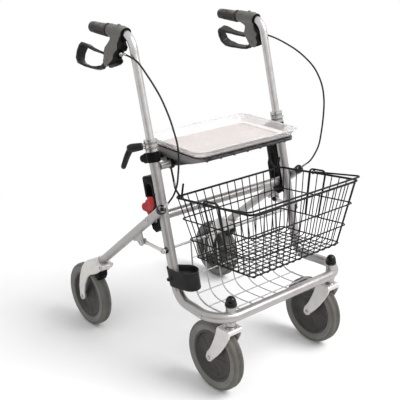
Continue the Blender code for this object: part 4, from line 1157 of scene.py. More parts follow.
# Wheels and forks
def tyre(centre):
    """Grey tread with round shoulders and fine grooves round it."""
    half = [(0.09, 0.0164), (0.0925, 0.0166), (0.0955, 0.0153), (0.0978, 0.0131), (0.099, 0.0105),
            (0.0997, 0.008), (0.1, 0.0064), (0.0999, 0.0058), (0.0986, 0.0053), (0.0986, 0.0045),
            (0.0999, 0.004), (0.1, 0.0032), (0.0999, 0.0022), (0.0986, 0.0017),
            (0.0986, 0.0009), (0.0998, 0.0004)]
    return lathed(doubled(half), centre, (1, 0, 0), 128, True)


@joined
def tyre_side(centre):
    """Lighter sidewall bands of the tyre."""
    half = [(0.09, 0.012), (0.0905, 0.0166), (0.0892, 0.0172), (0.0884, 0.0179), (0.086, 0.018),
            (0.0838, 0.0177), (0.079, 0.0166), (0.0739, 0.0148), (0.073, 0.012)]
    yield lathed(half, centre, (1, 0, 0), 128, True)
    yield lathed([(r, -h) for r, h in half], centre, (1, 0, 0), 128, True)


@joined
def hub(centre):
    """Moulded hub: rim, dished web with thin ribs, a ring on both faces and a stepped boss."""
    dish = [(0.015, 0.014), (0.03, 0.0088), (0.045, 0.0062), (0.056, 0.0054), (0.061, 0.0062),
            (0.0645, 0.009), (0.0662, 0.0128)]
    half = [(0.0045, 0.0186), (0.0085, 0.0188), (0.01, 0.0182), (0.0112, 0.0158)] + dish
    half += [(0.0676, 0.015), (HUB_R, 0.015)]
    yield lathed(doubled(half), centre, (1, 0, 0), 96, True)
    crest = [(r, h + 0.0008) for r, h in dish[:-1]]
    for k in range(5):
        t = 2 * math.pi * (k + 0.5) / 5
        across = Vector((0, math.cos(t), math.sin(t)))
        yield sheet([doubled(crest)], centre, across, (1, 0, 0), -0.0006, 0.0006, 0.0003)
    for x in (0.0062, -0.0062 - 0.0012):
        foot = Vector(centre) + Vector((x, 0, 0))
        yield lathed(rectangle(0.04, 0.0, 0.0414, 0.0022), foot, (1, 0, 0), 72, True)


def fork_body(outline, centre, half, inner):
    """Cheeks and bridge of a fork as one casting."""
    x = centre[0]
    shape = side_sheet([softened(outline, 0.006)], x - half, x + half, 0.0022)
    return cut(shape, cross_pin(x, inner, *centre[1:], WHEEL_R + 0.006, 96, 0.0))


@joined
def fork_boss(centre, low, high, radius=0.0118):
    """Round boss on both cheeks of a fork at the axle."""
    for face in (1, -1):
        root = at(centre[0] + face * low, centre[1], centre[2])
        yield disc(root, (face, 0, 0), radius, high - low, 0.0008, 36, radius - 0.0006)


def caster_fork(side):
    """Swivelling front fork, cast with a raised crown."""
    outline = [(-0.2352, 0.209), (-0.279, 0.209), (-0.2825, 0.203), (-0.28, 0.188), (-0.269, 0.166),
            (-0.253, 0.14), (-0.236, 0.118),
            (-0.223, 0.104)] + arc((FRONT_Y, WHEEL_R), 0.0125, 200, 370, 12) + [(-0.1935, 0.112),
            (-0.208, 0.133), (-0.22, 0.16), (-0.229, 0.185), (-0.232, 0.2)]
    centre = (side * FRONT_X, FRONT_Y, WHEEL_R)
    front = side_sheet([rectangle(-0.3, 0.14, -0.245, 0.196)], centre[0] - FORK_INNER,
            centre[0] + FORK_INNER, 0.0002)
    body = cut(fork_body(outline, centre, FORK_HALF, FORK_INNER), front)
    body = moulded(body, 0.0012, 5, 0.5)
    return gathered(body, fork_boss(centre, 0.0235, 0.0262))


def caster_stem(side):
    """Washers and stem of a caster."""
    foot = at(side * CASTER_X, CASTER_Y, 0.2086)
    profile = [(0.0, 0.0), (0.0158, 0.0), (0.0165, 0.0008), (0.0165, 0.0026), (0.0156, 0.0032),
            (0.014, 0.0034), (0.014, 0.0052), (0.0128, 0.006), (0.0068, 0.0062),
            (0.0068, 0.048), (0.0, 0.049)]
    return lathed(profile, foot, (0, 0, 1), 44)


@joined
def axle_nuts(centre, reach, height):
    """Nuts and washers at both ends of an axle."""
    for face in (1, -1):
        root = at(centre[0] + face * reach, centre[1], centre[2])
        yield disc(root, (face, 0, 0), 0.0078, 0.0008, 0.0003, top=0.0074)
        yield hex_nut(root + Vector((face * 0.0007, 0, 0)), (face, 0, 0), 0.0058, height)


def rear_fork(side):
    """Rear fork, cast with the sleeve that clamps the rear leg's end; it widens downward."""
    outline = [(0.252, 0.244), (0.238, 0.233), (0.225, 0.239), (0.213, 0.237), (0.209, 0.227),
            (0.218, 0.22), (0.233, 0.206), (0.244, 0.199), (0.266, 0.19), (0.281, 0.174), (0.296, 0.145),
            (0.303, 0.115)] + arc((REAR_Y, WHEEL_R), 0.0125, 190, 360, 12) + [(0.33, 0.13), (0.323, 0.166),
            (0.308, 0.204), (0.29, 0.226), (0.27, 0.24)]
    centre = (side * REAR_X, REAR_Y, WHEEL_R)
    plan = [(-0.02, 0.19), (-0.0205, 0.23), (-0.0235, 0.25), (-0.033, 0.28), (-0.036, 0.35)]
    footprint = sheet([doubled(plan, -1, 1)], at(side * REAR_X, 0, 0), (1, 0, 0),
            (0, 1, 0), 0.05, 0.3, 0.0001)
    pocket = [(0.22, 0.17), (0.22, 0.206), (0.233, 0.2127), (0.252, 0.2127), (0.276, 0.204),
            (0.286, 0.198), (0.286, 0.17)]
    room = side_sheet([pocket], side * REAR_X - 0.0168, side * REAR_X + 0.0168, 0.0002)
    body = fork_body(outline, centre, REAR_FORK_HALF, REAR_FORK_INNER)
    body = cut(combine(body, [footprint], "INTERSECT"), room)
    sleeve = bar(rear_at(side, REAR_LENGTH - 0.014), rear_at(side, REAR_LENGTH + 0.006), 0.017, 40, 0.0014)
    boss = cross_pin(side * REAR_X, 0.0186, *SLEEVE_BOLT, 0.0088, 28, 0.001)
    body = moulded(gathered(body, sleeve, boss), 0.0012, 5, 0.5)
    return gathered(body, fork_boss(centre, 0.03, 0.0312), fork_boss(centre, 0.02, 0.025, 0.0096))


@joined
def sleeve_bolt(side):
    """Clamp bolt of the rear fork's sleeve, with its head and nut on washers."""
    for face in (1, -1):
        foot = at(side * REAR_X + face * 0.0184, *SLEEVE_BOLT)
        yield disc(foot, (face, 0, 0), 0.008, 0.001, 0.0003, top=0.0077)
        yield screw_head(foot + Vector((face * 0.0008, 0, 0)), (face, 0, 0), 0.006, 0.0042)


def brake_shoe(side):
    """Brake shoe between the cheeks, ribbed on its back."""
    outline = arc((REAR_Y, WHEEL_R), 0.103, 134, 112, 14)
    outline += [(0.269, 0.201), (0.25, 0.2112), (0.239, 0.2112), (0.2345, 0.206), (0.2345, 0.19)]
    x = side * REAR_X
    return gathered(side_sheet([softened(outline, 0.002)], x - 0.0155, x + 0.0155, 0.0012),
            cross_pin(x, 0.02, *BRAKE_PIN, 0.0031, 16))


# Rear frame
def rear_leg(side):
    """Rear leg with its gusset plate."""
    leg = bar(rear_at(side, 0.006), rear_at(side, REAR_LENGTH), REAR_LEG_R, 40, 0.0008)
    plate = [(0.03, 0.414), (0.08, 0.372), (0.07, 0.369)] + arc((0.05, 0.356), 0.0125, 35, 145, 8)
    plate += [(0.033, 0.36), (0.023, 0.3625), (0.0185, 0.369), (0.0178, 0.378), (0.021, 0.39)]
    gusset = side_sheet([softened(plate, 0.002)], side * 0.2612, side * 0.2652, 0.0007)
    return gathered(leg, gusset)


def gusset_weld(side):
    """Weld bead between a rear leg and its gusset."""
    path = [rear_at(side, 0.118 + 0.066 * k / 40, REAR_LEG_R * 0.93)
            + Vector((side * 0.0052, 0, 0)) for k in range(41)]
    return bead(path, 0.0014, False)


def end_plug(side):
    """Plug in the rear leg's upper end, with the cable's inlet."""
    way = (rear_at(side, -0.01) - rear_at(side, 0.0)).normalized()
    rim = [(0.0132, 0.0), (0.0132, 0.0095), (0.0118, 0.0122), (0.0062, 0.0126), (0.005, 0.0135),
            (0.005, 0.0172), (0.0042, 0.0177)]
    return turned(rim, 0.0008, rear_at(side, 0.0057), way, 44)


def crossbar():
    """Bar behind the front legs that the rear legs turn on."""
    return cross_pin(0.0, 0.2479, *CROSSBAR, 0.0125, 40, 0.001)


def crossbar_bush(side):
    """Black bush between the cross bar and a rear leg."""
    return disc(at(side * 0.2478, *CROSSBAR), (side, 0, 0), 0.0105, 0.0006, 0.0002)


def link(side):
    """Short link with flattened ends."""
    line = (Vector(REAR_PIN) - Vector(FRONT_PIN)).normalized()
    low = side * 0.2538
    high = side * 0.2574
    near = Vector(FRONT_PIN) + line * 0.02
    far = Vector(REAR_PIN) - line * 0.02
    shapes = [side_sheet([capsule(FRONT_PIN, near, 0.0085, 0.006)], low, high, 0.0008),
            side_sheet([capsule(far, REAR_PIN, 0.006, 0.0085)], low, high, 0.0008),
            bar(at(side * 0.2556, *Vector(FRONT_PIN) + line * 0.014),
            at(side * 0.2556, *Vector(REAR_PIN) - line * 0.014), 0.005, 24, 0.0018)]
    return moulded(gathered(*shapes), 0.0008, 5, 0.5)


def link_bush(side):
    """Black bush of a link's upper pin."""
    profile = eased([(0.0, 0.0), (0.0072, 0.0), (0.0072, 0.0052), (0.0, 0.0054)], 0.0006)
    return lathed(profile, at(side * 0.2495, *REAR_PIN), (side, 0, 0), 32)


# Handles and brakes
def handle_path(side):
    """Line of a handle tube."""
    points = [leg_at(side * LEG_X, HANDLE_LOW, 0), grip_at(side, leg_y(HANDLE_BEND_Z)),
            grip_at(side, GRIP_END - 0.006)]
    return rounded(points, [0.05], 20)


def handle_tube(side):
    """Satin tube that telescopes in the leg and bends back into the grip."""
    return swept(handle_path(side), HANDLE_R, 40, 0.0006)


GROOVES = [0.013 + 0.0092 * k for k in range(5)]


def grip_stations():
    """Places along the grip, each with the radius over and under the tube."""
    stations = [(0.0, 0.015, 0.016), (0.0006, 0.0168, 0.0186), (0.0012, 0.0173, 0.0192),
            (0.0052, 0.0173, 0.0193), (0.0066, 0.0168, 0.019), (0.0084, 0.0157, 0.0184),
            (0.0104, 0.0152, 0.0183)]
    for index, place in enumerate(GROOVES):
        crest = 0.0185 - 0.0005 * index
        stations += [(place - 0.0018, 0.0151, crest), (place - 0.0009, 0.015, crest - 0.002),
                (place + 0.0009, 0.015, crest - 0.002), (place + 0.0018, 0.0151, crest - 0.0002),
                (place + 0.0042, 0.0152, crest + 0.0001)]
    stations += [(0.06, 0.0153, 0.016), (0.07, 0.0153, 0.0152), (0.077, 0.0147, 0.0144),
            (0.0815, 0.0132, 0.0128), (0.0842, 0.0108, 0.0104), (0.0856, 0.0074, 0.0072),
            (0.086, 0.003, 0.003)]
    return stations


def grip(side):
    """Moulded grip: a flange in front, finger grooves below and a round rear end."""
    rings = []
    for place, over, under in grip_stations():
        ring = []
        for t in round_turn(48):
            below = max(-math.sin(t), 0.0)
            radius = over + (under - over) * below ** 1.3
            side_pull = 1 - 0.05 * math.cos(t) ** 2
            ring.append(grip_at(side, GRIP_START + place, radius * side_pull * math.cos(t),
                    radius * math.sin(t)))
        rings.append(ring)
    return skin(rings)


@joined
def grip_groove_shade_and_ring(side):
    """Dark strips in the grip's finger grooves that paint the shade there, and a fine ring near its rear
    end.
    """
    # Painted shade: dark strips lie in the finger grooves where shade falls
    for index, place in enumerate(GROOVES):
        radius = 0.0163 - 0.0005 * index
        path = []
        for k in range(25):
            t = math.radians(198 + 144 * k / 24)
            r = 0.015 + (radius - 0.015) * max(-math.sin(t), 0.0)
            path.append(grip_at(side, GRIP_START + place, r * 0.985 * math.cos(t), r * math.sin(t)))
        yield swept(path, 0.0011, 8, 0.0004)
    yield swept(ring_path(grip_at(side, GRIP_START + 0.078), (0, 1, 0), 0.0142), 0.0006, 8, 0.0, True)


LEVER_ROOM = [(0.135, 0.064), (0.15, 0.06), (0.16, 0.052), (0.2, 0.042), (0.2, 0.11),
        (0.155, 0.11), (0.135, 0.093)]


def lever_room():
    """The mouth in a brake that its lever turns in."""
    return lean_sheet(1, [softened(LEVER_ROOM, 0.003)], -0.0053, 0.0052, 0.0003)


def adjuster_line(side):
    """Foot and tip of a brake's cable adjuster."""
    return (lean_at(side, 0.122, 0.06), lean_at(side, 0.099, 0.056))


def brake_body(side):
    """Moulded brake body with a front lobe and the mouth that the lever turns in."""
    outline = [(0.106, -0.008), (0.12, -0.013), (0.174, -0.013), (0.178, -0.008), (0.176, 0.011),
            (0.155, 0.0225), (0.161, 0.036), (0.169, 0.048), (0.1685, 0.057), (0.1645, 0.068),
            (0.157, 0.0865), (0.145, 0.095), (0.125, 0.09), (0.106, 0.082), (0.099, 0.075), (0.101, 0.069),
            (0.11, 0.064), (0.108, 0.048), (0.098, 0.044), (0.097, 0.033), (0.112, 0.02), (0.112, 0.0)]
    shell = lean_sheet(1, [softened(outline, 0.004)], -0.0106, 0.0106, 0.0026)
    front, tip = adjuster_line(1)
    nose = bar(front, tip.lerp(front, 0.25), 0.0062, 28, 0.0012, 0.0056)
    whole = cut(moulded(gathered(shell, nose), 0.0012, 4, 0.6), lever_room())
    return mirrored(whole, side)


def brake_strap(side):
    """Grey shell of the brake: a sleeve round the tube and a strap down the cheeks."""
    outline = [(0.119, -0.012), (0.1166, 0.0127), (0.1195, 0.0342), (0.112, 0.047), (0.1225, 0.06),
            (0.1206, 0.0767), (0.1375, 0.0945), (0.148, 0.0968), (0.1592, 0.088), (0.1668, 0.0684),
            (0.1708, 0.0572), (0.1712, 0.0478), (0.1632, 0.0356), (0.1572, 0.0236), (0.178, 0.0122),
            (0.179, -0.008), (0.174, -0.015)]
    strap = lean_sheet(1, [softened(outline, 0.0045)], -0.012, 0.012, 0.003)
    sleeve = bar(grip_at(1, 0.118), grip_at(1, 0.1812), 0.017, 40, 0.0016)
    collar = bar(grip_at(1, 0.174), grip_at(1, 0.1812), 0.0177, 40, 0.0012)
    hood = swept(hood_path(1), 0.016, 40, 0.0012)
    bump = bar(grip_at(1, 0.14, up=0.015), grip_at(1, 0.14, up=0.02), 0.0046, 20, 0.0016)
    whole = moulded(gathered(strap, sleeve, collar, hood, bump), 0.0012, 4, 0.6)
    whole = cut(whole, lever_room(), swept(handle_path(1), HANDLE_R + 0.0002, 32, 0.0))
    return mirrored(whole, side)


def hood_path(side):
    """The part of the handle's line that the brake's hood covers."""
    return [p for p in handle_path(side) if 0.108 < p.y - Y_SHIFT < 0.13]


def brake_rim(side):
    """Black rim at the hood's mouth, where the tube comes out."""
    path = hood_path(side)
    way = (path[1] - path[0]).normalized()
    return bar(path[0] - way * 0.0012, path[0] + way * 0.003, 0.0166, 44, 0.0012)


def brake_pivot(side):
    """Round pivot detail on both cheeks of a brake."""
    normal = Vector((math.cos(LEAN), 0, math.sin(LEAN)))
    rim = [(0.0062, 0.0), (0.0062, 0.001), (0.0046, 0.0016)]
    shapes = []
    for face in (1, -1):
        shapes.append(turned(rim, 0.0004, lean_at(1, *LEVER_PIN, face * 0.0122), normal * face, 36))
    return mirrored(gathered(*shapes), side)


def cable_adjuster(side):
    """Barrel adjuster where the cable leaves the brake, with its knurled ring."""
    front, tip = adjuster_line(1)
    way = (tip - front).normalized()
    base = front.lerp(tip, 0.7)
    ring = turned([(0.006, 0.0), (0.006, 0.0042)], 0.0005, base, way, 80, 20, 0.035)
    barrel = turned([(0.0043, 0.0), (0.0043, 0.0028), (0.0034, 0.0034)], 0.0004,
            base + way * 0.0036, way, 28)
    return mirrored(gathered(ring, barrel), side)


LEVER_LOOP = [(0.16, 0.069), (0.168, 0.0635), (0.178, 0.06), (0.215, 0.0575), (0.248, 0.053),
        (0.272, 0.0475), (0.285, 0.047), (0.2935, 0.056), (0.296, 0.074), (0.2915, 0.094), (0.276, 0.1065),
        (0.24, 0.1105), (0.205, 0.1105), (0.18, 0.108), (0.164, 0.103), (0.159, 0.092)]
LEVER_WINDOW = [(0.169, 0.076), (0.175, 0.068), (0.185, 0.066), (0.22, 0.0645), (0.25, 0.0602),
        (0.273, 0.0555), (0.283, 0.059), (0.287, 0.075), (0.283, 0.091), (0.271, 0.099), (0.24, 0.1035),
        (0.208, 0.1035), (0.188, 0.101), (0.174, 0.095), (0.169, 0.088)]
LEVER_WAIST = [(0.12, 0.0047), (0.177, 0.0047), (0.184, 0.008), (0.235, 0.0085), (0.264, 0.0142),
        (0.264, 0.03), (0.12, 0.03)]


def brake_lever(side):
    """Loop lever with its tongue, narrow in front and broad where the hand pulls."""
    shape = lean_sheet(side, [softened(LEVER_LOOP, 0.006), softened(LEVER_WINDOW, 0.006)],
            -0.014, 0.014, 0.003)
    out = (side * math.cos(LEAN), 0, math.sin(LEAN))
    for face in (1, -1):
        plan = [(y, face * reach) for y, reach in LEVER_WAIST]
        shape = cut(shape, sheet([plan], lean_at(side, 0.0, 0.08), (0, 1, 0), out, -0.06, 0.06, 0.0001))
    shape = moulded(shape, 0.0008, 5, 0.5)
    tongue = lean_sheet(side, [capsule(LEVER_PIN, (0.164, 0.08), 0.0085)], -0.0047, 0.0047, 0.0012)
    return gathered(shape, tongue)


@joined
def lever_pad(side):
    """Fine ribs on the lever's upper bar."""
    for k in range(9):
        y = 0.212 + 0.006 * k
        below = 0.0577 - 0.0045 * (y - 0.215) / 0.033 - 0.0002
        yield bar(lean_at(side, y, below, -0.006), lean_at(side, y, below, 0.006), 0.0006, 8, 0.0004)


NEAR_ROUTE = [(0.0406, 0.8646), (-0.001, 0.8377), (-0.0533, 0.7934), (-0.0884, 0.7495), (-0.1079, 0.7155),
        (-0.1234, 0.6799), (-0.1274, 0.6415), (-0.1238, 0.6006), (-0.118, 0.572), (-0.1018, 0.54)]
FAR_ROUTE = [(0.0745, 0.8776), (0.0296, 0.8695), (-0.0327, 0.851), (-0.0784, 0.8293), (-0.1137, 0.8037),
        (-0.1402, 0.7662), (-0.1518, 0.7245), (-0.1532, 0.6807), (-0.1499, 0.6355), (-0.1432, 0.5924),
        (-0.1307, 0.5623), (-0.1128, 0.5344)]


def cable_line(side):
    """Route of a brake cable, from its adjuster to the rear leg's plug."""
    route = NEAR_ROUTE if side < 0 else FAR_ROUTE
    foot, start = adjuster_line(side)
    away = (start - foot).normalized()
    end = rear_at(side, -0.012)
    out = (end - rear_at(side, 0.0)).normalized()
    points = [start + away * 0.0003, start + away * 0.01]
    points += [at(side * 0.252, y, z) for y, z in route]
    points += [end + out * 0.014, end + out * 0.0003]
    return smooth_path(points, 240)


def near_height(path, height):
    """Index of the path's point that is nearest to a height."""
    return min(range(len(path)), key=lambda i: abs(path[i].z - height))


def brake_cables():
    """Each cable in three lengths, which are left on no body, and its two ferrules on the handle and the
    rear frame.
    """
    for side, word in SIDES:
        path = cable_line(side)
        upper = near_height(path, 0.69)
        lower = near_height(path, 0.59)
        pieces = [("handle_" + word, "frame", path[:upper + 1]),
                ("frame", "carriage", path[upper:lower + 1]), ("carriage", "rear_frame", path[lower:])]
        for index, (first, second, run) in enumerate(pieces):
            shape = swept(run, 0.0024, 16, 0.0)
            dressed(shape, "brake_cable_%s_%d" % (word, index + 1), SHEATH)
            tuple(run[0])
            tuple(run[-1])
            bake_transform(shape)
            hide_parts("brake_cable_" + word)
        mount(swept(path[:9], 0.0033, 20, 0.0006), "cable_ferrule_upper_" + word, STEEL, "handle_" + word)
        radii = [0.0034] * 10 + [0.003, 0.0028, 0.0027]
        mount(swept(path[-14:-1], radii, 20, 0.0006), "cable_ferrule_lower_" + word, STEEL, "rear_frame")


# Seat, tray and basket
@joined
def seat_board():
    """Moulded seat on its pins, with bulging sides, hollow and ribbed below."""
    profile = [(0.068, 0.624), (-0.124, 0.624), (-0.128, 0.6222), (-0.127, 0.619), (-0.1, 0.6115),
            (-0.0748, 0.6046), (-0.04, 0.5925), (-0.0213, 0.5884), (-0.0142, 0.588), (-0.0142, 0.6006),
            (0.0082, 0.6006), (0.0082, 0.59), (0.011, 0.588), (0.022, 0.5835), (0.046, 0.5835),
            (0.064, 0.59), (0.07, 0.6), (0.07, 0.622)]
    across = [(SEAT_HALF - 0.0075, 0.626), (SEAT_HALF - 0.0045, 0.6225), (SEAT_HALF - 0.001, 0.615),
            (SEAT_HALF, 0.606), (SEAT_HALF - 0.002, 0.596), (SEAT_HALF - 0.008, 0.586),
            (SEAT_HALF - 0.014, 0.58)]
    shape = side_sheet([softened(profile, 0.004)], -SEAT_HALF, SEAT_HALF, 0.0004)
    sides = sheet([doubled(across, -1, 1)], at(0, 0, 0), (1, 0, 0), (0, 0, 1), -0.2, 0.2, 0.0001)
    plan = [(SEAT_HALF, 0.072), (-SEAT_HALF, 0.072)] + arc((0.05 - SEAT_HALF, -0.078), 0.05, 180, 270, 12)
    plan += arc((SEAT_HALF - 0.05, -0.078), 0.05, 270, 360, 12)
    footprint = sheet([plan], at(0, 0, 0), (1, 0, 0), (0, 1, 0), 0.56, 0.64, 0.0001)
    shape = combine(shape, [sides, footprint], "INTERSECT")
    rooms = [side_sheet([rectangle(-0.115, 0.56, 0.063, 0.618)], -0.155, 0.155, 0.0001)]
    for side in (-1, 1):
        x = side * HANGER_X
        rooms.append(side_sheet([rectangle(-0.018, 0.56, 0.013, 0.6045)], x - 0.008, x + 0.008, 0.0001))
    yield cut(shape, *rooms)
    for side in (-1, 1):
        yield bar(at(side * 0.179, *SEAT_PIN), at(side * 0.203, *SEAT_PIN), 0.011, 32, 0.0012)
        yield bar(at(side * 0.198, *SEAT_PIN), at(side * 0.231, *SEAT_PIN), 0.005, 24, 0.0006)
    for k in range(7):
        x = -0.144 + 0.048 * k
        yield side_sheet([softened([(-0.113, 0.61), (0.06, 0.6), (0.06, 0.6183), (-0.113, 0.6183)],
                0.003)], x - 0.0012, x + 0.0012, 0.0004)


def tray_ring(inset, corner, height):
    """The tray's outline at a height, drawn in by an inset, its corners rounded."""
    low = at(-0.19, -0.1294, 0.0)
    high = at(0.19, 0.1128, 0.0)
    left = low.x + inset + corner
    front = low.y + inset + corner
    right = high.x - inset - corner
    back = high.y - inset - corner
    points = []
    for x, y, start in ((right, back, 0), (left, back, 90), (left, front, 180), (right, front, 270)):
        points += [Vector((a, b, height)) for a, b in arc((x, y), corner, start, start + 90, 9)]
    return points


def tray_shell():
    """Clear tray with flared walls, a rounded bottom corner and a rolled rim."""
    rows = [(0.02, 0.018, 0.6247), (0.0168, 0.02, 0.625), (0.015, 0.022, 0.6262), (0.0138, 0.024, 0.6285),
            (0.0052, 0.026, 0.6446), (0.0018, 0.028, 0.6449), (0.0006, 0.028, 0.6455),
            (0.0, 0.028, 0.6462), (0.0006, 0.028, 0.647), (0.002, 0.028, 0.6475), (0.0034, 0.027, 0.6474),
            (0.0048, 0.026, 0.6468), (0.0066, 0.025, 0.6456), (0.0158, 0.023, 0.63),
            (0.0172, 0.021, 0.6281), (0.0192, 0.019, 0.6273), (0.023, 0.017, 0.6271)]
    return skin([tray_ring(*row) for row in rows])


def tray_border_highlight():
    """Pale frosted border between the tray's walls and its floor panel; its paleness is a painted highlight
    of the clear bottom corner.
    """
    rows = [(0.0158, 0.6302), (0.0174, 0.6284), (0.0194, 0.6276), (0.033, 0.6274),
            (0.033, 0.6272), (0.0192, 0.6272)]
    return skin([tray_ring(inset, 0.022, height) for inset, height in rows], closed=True)


@joined
def tray_floor():
    """Frosted floor panel of the tray, with two raised lines round it."""
    rows = [(0.032, 0.6272), (0.0321, 0.6275), (0.033, 0.6278), (0.038, 0.6279)]
    yield skin([tray_ring(inset, 0.02, height) for inset, height in rows])
    for inset in (0.035, 0.042):
        yield swept(tray_ring(inset, 0.014, 0.6279), 0.0006, 8, 0.0, True)


BASKET_CORNERS = {"rear": (BASKET_LOW_REAR, BASKET_TOP_REAR), "front": (BASKET_LOW_FRONT, BASKET_TOP_FRONT)}


def basket_corner(side, end, height):
    """A point on one of the basket's corner lines, at a share of its height."""
    low, top = (at(side * x, y, z) for x, y, z in BASKET_CORNERS[end])
    return low.lerp(top, height)


def basket_flank(side, depth, height):
    """A point on a side wall, at shares of the way forward and of the height."""
    return basket_corner(side, "rear", height).lerp(basket_corner(side, "front", height), depth)


def basket_wall(end, across, height):
    """A point on the rear or front wall, at shares of the way across and of the height."""
    return basket_corner(-1, end, height).lerp(basket_corner(1, end, height), across)


def hoop(share, radius, swell=0.0, corner=0.012):
    """A closed wire round the basket at a share of its height."""
    points = []
    for end, side in (("rear", -1), ("rear", 1), ("front", 1), ("front", -1)):
        out = Vector((side, 1 if end == "rear" else -1, 0)) * swell
        points.append(basket_corner(side, end, share) + out)
    return swept(rounded(points, [corner] * 4, 8, True), radius, 14, 0.0, True)


def basket_uprights():
    """Wires that run down one wall, across the floor and up the other wall."""
    paths = []
    for k in range(14):
        share = (k + 0.5) / 14
        clear = min(max(share, 0.065), 0.935)
        paths.append([basket_wall("rear", clear, 1.0), basket_wall("rear", clear, 0.0),
                basket_wall("front", share, 0.0), basket_wall("front", share, 1.0)])
    lift = Vector((0, 0, 0.0028))
    for k in range(11):
        share = (k + 0.5) / 11
        paths.append([basket_flank(-1, share, 1.0), basket_flank(-1, share, 0.0) + lift,
                basket_flank(1, share, 0.0) + lift, basket_flank(1, share, 1.0)])
    return gathered(*[swept(rounded(path, [0.014, 0.014], 8), 0.0015, 10, 0.0005) for path in paths])


def basket_hoops():
    """Rim and the rings round the basket."""
    return gathered(hoop(1.0, 0.003, 0.0, 0.016), hoop(0.66, 0.0019, 0.0022), hoop(0.33, 0.0019, 0.0022),
            hoop(0.045, 0.0019, 0.0004))


@joined
def basket_loops():
    """Two thick upright loops on the side walls that rise above the rim."""
    for side in (-1, 1):
        points = []
        for share in (0.4, 0.6):
            high = basket_flank(side, share, 1.0)
            low = basket_flank(side, share, 0.0)
            inward = Vector((side * -0.001, 0, 0))
            foot = low.lerp(high, 0.33) + inward
            head = high + (high - low).normalized() * 0.01 + inward
            points += [foot, head] if share < 0.5 else [head, foot]
        yield swept(rounded(points, [0.012, 0.012], 10), 0.0026, 14, 0.0008)


def basket_bail():
    """Carrying bail that lies on the front rim."""
    half = [at(-0.2072, *BAIL_PIN), at(-0.2072, -0.335, 0.5535)]
    path = half + [at(0.2072, -0.335, 0.5535), at(0.2072, *BAIL_PIN)]
    return swept(rounded(path, [0.014, 0.014], 12), 0.0025, 14, 0.0008)


@joined
def bail_eyes():
    """Eyes at the bail's ends, round the side rims."""
    for side in (-1, 1):
        centre = at(side * 0.2035, *BAIL_PIN)
        yield swept(ring_path(centre, (0, 1, 0.12), 0.0052, 28), 0.0016, 10, 0.0, True)


# The pieces in their places, each on the body that carries it
def build_frame():
    """The front frame with what is fixed to it, the clamp levers and the latch."""
    mount(front_tube(), "front_tube", PAINT, "frame", "front_leg_right", "front_leg_left", "base_bar")
    both(socket_weld, "socket_weld_{}", PAINT, "frame")
    both(tube_weld, "seat_tube_weld_{}", PAINT, "frame")
    both(dome_cap, "socket_cap_{}", GLOSS, "frame", "dome_cap_{}")
    both(link_spacer, "link_spacer_{}", GLOSS, "frame")
    both(bend_rivet, "bend_rivet_{}", STEEL, "frame")
    mount(wire_shelf(), "wire_shelf", SHELF_WIRE, "frame", "shelf_back", "shelf_floor")
    mount(seat_cross_tube(), "seat_tube", PAINT, "frame", "seat_cross_tube")
    both(clamp_collar, "collar_{}", STEEL, "frame", "clamp_collar_{}")
    both(collar_groove_shade_and_bolt_end, "collar_bands_{}", GROOVE_SHADE_AND_DARK_STEEL, "frame")
    both(clamp_lever, "clamp_handle_{}", GLOSS, "clamp_{}", "clamp_lever_{}")
    both(seat_bracket, "bracket_{}", BLACK, "frame", "seat_bracket_{}")
    both(guide, "fold_rail_{}", BLACK, "frame", "guide_{}")
    mount(red_latch(), "fold_latch", RED, "latch", "red_latch")
    mount(latch_tongue(), "fold_latch_tongue", RED, "latch")
    mount(latch_ribs(), "fold_latch_ribs", RED, "latch")
    mount(cane_holder(), "cane_cup", LEVER_BLACK, "frame", "cane_holder")
    both(basket_hanger, "hanger_{}", BASKET_BLACK, "frame", "basket_hanger_{}")
    mount(hanger_sleeve(-1), "hanger_sleeve_right", STEEL, "frame")


def build_screws():
    """Screw and bolt heads: name, side, spot, radius, height, finish and body of each."""
    heads = [("cane_cup_screw", -1, at(-0.2586, *CANE_EAR), 0.0044, 0.0022, GLOSS, "frame")]
    for side, word in SIDES:
        heads += [("link_bolt_" + word, side, at(side * 0.2578, *FRONT_PIN), 0.0066, 0.0046, STEEL,
                "frame"), ("rail_screw_" + word, side, leg_at(side * (LEG_X + 0.0136), 0.125, 0.008),
                0.0036, 0.002, GLOSS, "frame"), ("gusset_bolt_" + word, side, at(side * 0.265, *REAR_PIN),
                0.0062, 0.004, STEEL, "rear_frame"), ("cross_bar_bolt_" + word, side,
                at(side * 0.2728, *CROSSBAR), 0.0066, 0.0034, STEEL, "carriage")]
    for name, side, spot, radius, height, look, body in heads:
        mount(screw_head(spot, (side, 0, 0), radius, height), name, look, body)


def build_wheels():
    """Wheels with their axle nuts, the forks and the brake shoes."""
    for side, word in SIDES:
        for end, x, y, reach, height, body in (("rear", REAR_X, REAR_Y, 0.0311, 0.0016, "rear_frame"),
                ("front", FRONT_X, FRONT_Y, 0.0262, 0.0026, "caster_" + word)):
            centre = (side * x, y, WHEEL_R)
            wheel = end + "_wheel_" + word
            tag = "_" + end + "_" + word
            mount(tyre(at(*centre)), "tread" + tag, TYRE, wheel, end + "_tyre_" + word, sharp=50)
            mount(tyre_side(at(*centre)), "sidewall" + tag, TYRE_SIDE, wheel, sharp=50)
            mount(hub(at(*centre)), "spokes" + tag, HUB, wheel, end + "_hub_" + word)
            mount(axle_nuts(centre, reach, height), "axle_nuts" + tag, STEEL, body)
    both(caster_fork, "swivel_fork_{}", FORK_PAINT, "caster_{}", "caster_fork_{}", sharp=60)
    both(caster_stem, "swivel_washers_{}", STEEL, "caster_{}")
    both(rear_fork, "fixed_fork_{}", FORK_PAINT, "rear_frame", "rear_fork_{}", sharp=60)
    both(sleeve_bolt, "sleeve_bolts_{}", STEEL, "rear_frame")
    both(brake_shoe, "brake_block_{}", BLACK, "shoe_{}", "brake_shoe_{}")


